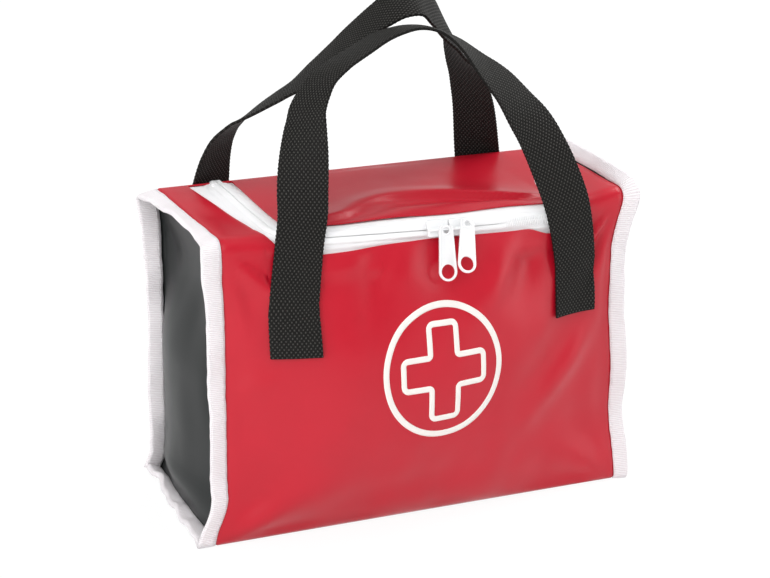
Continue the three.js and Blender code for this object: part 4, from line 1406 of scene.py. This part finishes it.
class TOYCASE_OT_pulls(bpy.types.Operator):
    """White zip pulls with a raised rim, a round hole and an eye round the bridge"""

    bl_idname = "toycase.pulls"
    bl_label = "Pulls"

    hole: length_property("Hole", "Hole's diameter", 7.3)

    def execute(self, context):
        plastic = moulded("pull_plastic", colours().pull, 0.34)
        for side in SIDES:
            at, along, up, out = zip_axes(SLIDER_X[side], SIDES[side] * ZIP_CORNER_X)
            bm = bmesh.new()
            outline = tab_outline(22)
            hole = oval(self.hole / 2, self.hole / 2, PULL_END, steps(0, 2 * math.pi, 30)[:-1])
            eye = oval(EYE_HALF_WIDTH, EYE_HALF_HEIGHT, EYE_RISE, steps(0, 2 * math.pi, 18)[:-1])
            edges = closed_loop(bm, outline) + closed_loop(bm, hole) + closed_loop(bm, eye)
            bmesh.ops.triangle_fill(bm, edges=edges, use_beauty=True)
            grown = bmesh.ops.extrude_face_region(bm, geom=list(bm.faces))["geom"]
            verts = [part for part in grown if isinstance(part, bmesh.types.BMVert)]
            bmesh.ops.translate(bm, verts=verts, vec=Vector((0, 0, PULL_THICKNESS)))
            bmesh.ops.translate(bm, verts=bm.verts, vec=Vector((0, 0, -PULL_THICKNESS / 2)))
            rims = [
                ([inwards(point) for point in outline], PULL_RIM),
                (wider(hole, PULL_END, 1.12), PULL_RIM),
                (wider(eye, EYE_RISE, 1.2), EYE_RIM),
            ]
            for height in (PULL_RIM_RISE, -PULL_RIM_RISE):
                for path, radius in rims:
                    tube(bm, [point + Vector((0, 0, height)) for point in path], radius, 8)
            aside, slack, swing = PULL_REST[side]
            tilt = Vector((0, -math.sin(PULL_TILT + swing), -math.cos(PULL_TILT + swing)))
            face = along.cross(-tilt).normalized()
            pivot = at + out * BRIDGE_HEIGHT + along * aside * MM + up * (slack * MM - BRIDGE_DROP)
            hang = axes_matrix(pivot, along, face.cross(along).normalized(), face)
            hang = hang @ Matrix.Rotation(PULL_SKEW[side], 4, "Z")
            bmesh.ops.transform(bm, matrix=hang, verts=bm.verts)
            name = side + "_pull"
            made = piece(name + "_tab", bm, plastic, name, (name,), weld=0)
            smooth_shade(made, 35)
        return {"FINISHED"}


def curve_point(points, index, share):
    """A point of the centripetal curve through the points."""
    p1, p2 = points[index], points[index + 1]
    p0 = points[index - 1] if index > 0 else 2 * p1 - p2
    p3 = points[index + 2] if index + 2 < len(points) else 2 * p2 - p1
    t0, t1, t2 = ((b - a).length ** 0.5 for a, b in ((p0, p1), (p1, p2), (p2, p3)))
    slope = ((p1 - p0) / t0 - (p2 - p0) / (t0 + t1) + (p2 - p1) / t1) * t1
    next_slope = ((p2 - p1) / t1 - (p3 - p1) / (t1 + t2) + (p3 - p2) / t2) * t1
    return cubic(share, p1, slope, p2, next_slope)


def even_line(points, turns, count):
    """Evenly spaced points, directions, lengths and turns along the curve."""
    parts = [(k, t) for k in range(len(points) - 1) for t in steps(0, 1, 24)[:-1]]
    fine = [curve_point(points, k, t) for k, t in parts] + [points[-1]]
    fine_turns = [lerp(turns[k], turns[k + 1], t) for k, t in parts] + [turns[-1]]
    lengths = [0.0]
    for first, last in zip(fine, fine[1:]):
        lengths.append(lengths[-1] + (last - first).length)
    made, k = [], 0
    for goal in steps(0, lengths[-1], count):
        while k < len(fine) - 2 and lengths[k + 1] < goal:
            k += 1
        share = (goal - lengths[k]) / (lengths[k + 1] - lengths[k])
        turn = lerp(fine_turns[k], fine_turns[k + 1], share)
        made.append((fine[k].lerp(fine[k + 1], share), (fine[k + 1] - fine[k]).normalized(), goal, turn))
    return made


class TOYCASE_OT_handles(bpy.types.Operator):
    """Two black webbing handles, each one length of webbing from stitched end to stitched end"""

    bl_idname = "toycase.handles"
    bl_label = "Handles"

    def execute(self, context):
        shades = colours()
        pitch = settings().weave_pitch
        weave = webbing_weave("black_webbing_weave", shades.webbing, shades.webbing_painted_highlight, pitch)
        for name, hand, route in (("front", 1, FRONT_ROUTE), ("back", -1, BACK_ROUTE)):
            bm = bmesh.new()
            self.webbing(bm, hand, route)
            nodes = (name + "_handle", name + "_handle_end_left", name + "_handle_end_right")
            made = piece(name + "_webbing", bm, weave, None, nodes, weld=0)
            thicken(made, WEBBING - 0.1 * MM, 0.0, WEBBING_EDGE)
            joint = next(j for j in frame["joints"] if j["name"] == name + "_handle_hinge")
            pivot = Vector(joint["pos_m"])
            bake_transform(made)
        return {"FINISHED"}

    def webbing(self, bm, hand, route):
        """One length of webbing: rows of (side, length along the cloth) on its stitched ends, and places of
        its route in between."""
        count, columns, end_rows = 420, 14, 28
        points = [Vector((across, -out, height)) * MM for across, out, height, _ in route]
        line = even_line(points, [turn for *_, turn in route], count)
        total = line[-1][2]

        def loop_row(k):
            at, ahead = line[k][:2]
            near = line[max(0, k - 9):k + 10]
            turn = math.radians(sum(station[3] for station in near) / len(near))
            face = front_bulge if hand > 0 else bulge
            yaw = face(at.x - WEBBING_WIDTH / 2, at.z) - face(at.x + WEBBING_WIDTH / 2, at.z)
            flat = Vector((yaw / WEBBING_WIDTH, -1, 0))
            facing = (flat - ahead * flat.dot(ahead)).normalized()
            outward = facing.cross(ahead).normalized()
            normal = facing * math.cos(turn) + outward * math.sin(turn)
            return at, ahead.cross(normal).normalized(), normal

        leg = steps(STITCHED_LOW, STITCHED_TOP - 2 * MM, end_rows - 1)
        order = [(-1, u) for u in leg] + list(range(6, count - 5)) + [(1, u) for u in reversed(leg)]

        def width(j):
            return WEBBING_WIDTH + 0.35 * MM * math.sin(2.4 * j)

        def place(i, j):
            share = i / columns - 0.5
            row = order[j]
            if isinstance(row, tuple):
                side, u = row
                x = LEG_SHIFT + side * (LEG_SPAN - width(j) * share)
                length = u if hand > 0 else BACK_FOOT - u
                point = cloth_point(x, length, 0.3 * MM + WEBBING / 2)
                return Vector((x, point.y, point.z))
            at, across, normal = loop_row(row)
            cup = WEBBING_CUP * (4 * share * share - 0.4)
            point = at + across * (width(j) * share) - normal * cup
            return Vector((point.x, hand * point.y, point.z))

        def chart(i, j):
            row = order[j]
            if isinstance(row, tuple):
                side, u = row
                along = -(STITCHED_TOP - u) if side < 0 else total + (STITCHED_TOP - u)
            else:
                along = line[row][2]
            return WEBBING_WIDTH * (i / columns - 0.5), along

        patch(bm, columns, len(order) - 1, place, chart)


class TOYCASE_OT_print(bpy.types.Operator):
    """Off-white ring and cross printed on the front"""

    bl_idname = "toycase.print"
    bl_label = "Print"

    def execute(self, context):
        film = printed_film("off_white_print", colours().ink)
        line = settings().print_line
        radius = RING_RADIUS - line / 2
        ring = [Vector((math.cos(a), math.sin(a))) * radius for a in steps(0, 2 * math.pi, 160)[:-1]]
        self.stroke("ring_film", ring, line, film, "print_ring")
        cross = cross_path(*(reach - CROSS_LINE / 2 for reach in (CROSS_SIDE_REACH, CROSS_REACH, CROSS_ARM)))
        self.stroke("cross_film", cross, CROSS_LINE, film, "print_cross")
        return {"FINISHED"}

    def stroke(self, name, path, width, film, node):
        """One printed line along a closed path, four strips wide."""
        bm = bmesh.new()
        count = len(path)

        def place(i, j):
            k = i % count
            ahead = (path[(k + 1) % count] - path[k - 1]).normalized()
            side = Vector((ahead.y, -ahead.x)) * width * (j / 4 - 0.5)
            at = path[k] + side
            lift = FILM_EDGE if j in (0, 4) else FILM
            return cloth_point(at.x * EMBLEM_NARROWING, EMBLEM_HEIGHT + at.y, lift)

        patch(bm, count, 4, place, lambda i, j: (width * j / 4, 0.8 * MM * i))
        made = piece(name, bm, film, "bag", (node,), weld=0.001 * MM)
        turn_outwards(made)
        thicken(made, FILM_THICKNESS, -1.0)


def cross_path(across, up, arm):
    """Middle line of the cross's outline with rounded corners, anticlockwise."""
    corners = []
    for turn in range(4):
        reach = up if turn % 2 else across
        for x, y, radius in [
            (reach, -arm, CROSS_OUTER_ROUND), (reach, arm, CROSS_OUTER_ROUND), (arm, arm, CROSS_INNER_ROUND),
        ]:
            spun = [(x, y), (-y, x), (-x, -y), (y, -x)][turn]
            corners.append((Vector(spun), radius))
    points = []
    for k, (corner, radius) in enumerate(corners):
        following, following_radius = corners[(k + 1) % len(corners)]
        before = (corners[k - 1][0] - corner).normalized()
        after = (following - corner).normalized()
        centre = corner + (before + after) * radius
        for t in steps(0, math.pi / 2, 6):
            points.append(centre - after * radius * math.cos(t) - before * radius * math.sin(t))
        near = points[-1]
        far = following - after * following_radius
        points += [near.lerp(far, t) for t in steps(0, 1, 5)[1:-1]]
    return points


# The camera, solved from the photograph's outline
CAMERA_PLACE = Vector((-396.6, -909.8, 467.0)) * MM
CAMERA_TARGET = Vector((-23.2, -47.0, 125.1)) * MM
CAMERA_ROLL = math.radians(0.86)
FOCAL_PIXELS = 2000
IMAGE_WIDTH_PIXELS = 770
SENSOR = 36.0

# Soft round lamps: place, height of the point aimed at, and size in mm, and power in watts
LAMPS = {
    "key": ((-1000, -1150, 1150), 80, 1700, 11.5),
    "top": ((-200, -100, 1700), 100, 2200, 14.0),
    "right": ((1300, 250, 1250), 120, 1300, 20.0),
    "rear": ((500, 1500, 1500), 120, 1500, 2.0),
    "left": ((-1500, -500, 450), 80, 1000, 10.0),
    "fill": ((1300, -1000, 560), 90, 1100, 5.0),
}

WORLD_LIGHT = 0.33

# The floor: how far it is flat, and how far and high its rim curves up, in metres
FLOOR_FLAT = 4
FLOOR_SWEEP = 2
FLOOR_RIM = 0.9


class TOYCASE_OT_stage(bpy.types.Operator):
    """Plain pale floor, soft lamps and the camera"""

    bl_idname = "toycase.stage"
    bl_label = "Stage"

    def execute(self, context):
        self.floor()
        self.world()
        for name, (place, aim, size, power) in LAMPS.items():
            self.lamp(name, Vector(place), Vector((0, 0, aim)), size, power)
        data = bpy.data.cameras.new("camera")
        data.sensor_width = SENSOR
        data.lens = SENSOR * FOCAL_PIXELS / IMAGE_WIDTH_PIXELS
        data.clip_start = 0.01
        data.clip_end = 50
        camera = bpy.data.objects.new("camera", data)
        context.scene.collection.objects.link(camera)
        look = (CAMERA_TARGET - CAMERA_PLACE).to_track_quat("-Z", "Y").to_matrix()
        turn = look @ Matrix.Rotation(CAMERA_ROLL, 3, "Z")
        camera.matrix_world = Matrix.Translation(CAMERA_PLACE) @ turn.to_4x4()
        context.scene.camera = camera
        context.scene.view_settings.view_transform = "Standard"
        return {"FINISHED"}

    def floor(self):
        """A wide paper floor whose far edge curves up, as a photographer's sweep does."""
        bm = bmesh.new()
        profile = [(reach, 0.0) for reach in (0.0, 0.5, 1.0, 2.0, 3.0, FLOOR_FLAT)]
        for a in steps(0, math.pi / 2, 14)[1:]:
            profile.append((FLOOR_FLAT + FLOOR_SWEEP * math.sin(a), FLOOR_RIM * (1 - math.cos(a))))
        verts = [bm.verts.new((reach, 0, height)) for reach, height in profile]
        edges = [bm.edges.new(pair) for pair in zip(verts, verts[1:])]
        bmesh.ops.spin(
            bm, geom=verts + edges, cent=(0, 0, 0), axis=(0, 0, 1), angle=2 * math.pi, steps=72,
            use_merge=True,
        )
        bmesh.ops.remove_doubles(bm, verts=bm.verts, dist=0.001)
        bmesh.ops.recalc_face_normals(bm, faces=bm.faces)
        if max(bm.faces, key=lambda face: face.normal.z ** 2).normal.z < 0:
            bmesh.ops.reverse_faces(bm, faces=bm.faces)
        mesh = bpy.data.meshes.new("floor")
        bm.to_mesh(mesh)
        bm.free()
        made = bpy.data.objects.new("floor", mesh)
        bpy.context.scene.collection.objects.link(made)
        made.location.z = -0.2 * MM
        made.data.materials.append(self.paper())
        mesh.shade_smooth()

    def paper(self):
        """White paper that the camera and reflections see as almost pure white, with a faint shadow."""
        paint = Paint("floor_paper", Base_Color=(0.85, 0.85, 0.85, 1), Roughness=0.9)
        seen = paint.tree.nodes.new("ShaderNodeBsdfPrincipled")
        seen.inputs["Base Color"].default_value = (0.1, 0.1, 0.1, 1)
        seen.inputs["Roughness"].default_value = 1.0
        seen.inputs["Specular IOR Level"].default_value = 0.0
        seen.inputs["Emission Strength"].default_value = 1.0
        x, y, _ = paint.split(paint.place())
        far = (x * x + y * y) ** 0.5
        share = 1.0 - (1.0 - ((far - 0.3) * 1.2).most()).most()
        glow = paint.colour_mix(share, (0.92, 0.92, 0.92, 1), (0.975, 0.975, 0.975, 1))
        paint.feed(seen.inputs["Emission Color"], glow)
        rays = ("Is Camera Ray", "Is Glossy Ray", "Is Transmission Ray")
        camera, glossy, through = (paint.add("ShaderNodeLightPath", {}, {}, ray) for ray in rays)
        mix = paint.tree.nodes.new("ShaderNodeMixShader")
        paint.feed(mix.inputs[0], camera.most(glossy).most(through))
        paint.tree.links.new(paint.shader.outputs[0], mix.inputs[1])
        paint.tree.links.new(seen.outputs[0], mix.inputs[2])
        paint.tree.links.new(mix.outputs[0], paint.tree.nodes["Material Output"].inputs["Surface"])
        return paint.material

    def world(self):
        """White to the camera, and a weaker white that lights the case."""
        world = bpy.data.worlds.new("studio")
        bpy.context.scene.world = world
        world.use_nodes = True
        tree = world.node_tree
        tree.nodes.clear()
        path = tree.nodes.new("ShaderNodeLightPath")
        seen = tree.nodes.new("ShaderNodeMath")
        seen.operation = "MAXIMUM"
        tree.links.new(path.outputs["Is Camera Ray"], seen.inputs[0])
        tree.links.new(path.outputs["Is Transmission Ray"], seen.inputs[1])
        mix = tree.nodes.new("ShaderNodeMixShader")
        tree.links.new(seen.outputs[0], mix.inputs[0])
        for socket, strength in ((1, WORLD_LIGHT), (2, 1.0)):
            white = tree.nodes.new("ShaderNodeBackground")
            white.inputs["Color"].default_value = (1, 1, 1, 1)
            white.inputs["Strength"].default_value = strength
            tree.links.new(white.outputs[0], mix.inputs[socket])
        out = tree.nodes.new("ShaderNodeOutputWorld")
        tree.links.new(mix.outputs[0], out.inputs[0])

    def lamp(self, name, place, aim, size, power):
        """A soft lamp; the top one doesn't mirror in the cloth, so that its folds stay dark there."""
        data = bpy.data.lights.new(name, "AREA")
        data.shape = "DISK"
        data.size = size * MM
        data.energy = power
        made = bpy.data.objects.new(name, data)
        bpy.context.scene.collection.objects.link(made)
        made.location = place * MM
        made.rotation_euler = (place - aim).to_track_quat("Z", "Y").to_euler()
        made.visible_glossy = name != "top"


OPERATORS = (
    TOYCASE_OT_stage,
    TOYCASE_OT_bag_cloth,
    TOYCASE_OT_lid_cloth,
    TOYCASE_OT_side_cloth,
    TOYCASE_OT_bindings,
    TOYCASE_OT_seam_stitches,
    TOYCASE_OT_zip_tapes,
    TOYCASE_OT_zip_teeth,
    TOYCASE_OT_zip_stops,
    TOYCASE_OT_sliders,
    TOYCASE_OT_pulls,
    TOYCASE_OT_handles,
    TOYCASE_OT_print,
)


class TOYCASE_PT_panel(bpy.types.Panel):
    """Lists the case's sizes, colours and operators"""

    bl_label = "Toy doctor case"
    bl_idname = "TOYCASE_PT_panel"
    bl_space_type = "VIEW_3D"
    bl_region_type = "UI"
    bl_category = "Toy case"

    def draw(self, context):
        layout = self.layout
        for group in (context.scene.toy_case_sizes, context.scene.toy_case_colours):
            for name in group.bl_rna.properties.keys():
                if name not in ("rna_type", "name"):
                    layout.prop(group, name)
        for operator in OPERATORS:
            layout.operator(operator.bl_idname)


CLASSES = (CaseSizes, CaseColours, *OPERATORS, TOYCASE_PT_panel)


def register():
    for each in CLASSES:
        bpy.utils.register_class(each)
    bpy.types.Scene.toy_case_sizes = PointerProperty(type=CaseSizes)
    bpy.types.Scene.toy_case_colours = PointerProperty(type=CaseColours)


def unregister():
    del bpy.types.Scene.toy_case_sizes
    del bpy.types.Scene.toy_case_colours
    for each in reversed(CLASSES):
        bpy.utils.unregister_class(each)


def main():
    register()
    for operator in OPERATORS:
        group, name = operator.bl_idname.split(".")
        getattr(getattr(bpy.ops, group), name)()


if __name__ == "__main__":
    main()
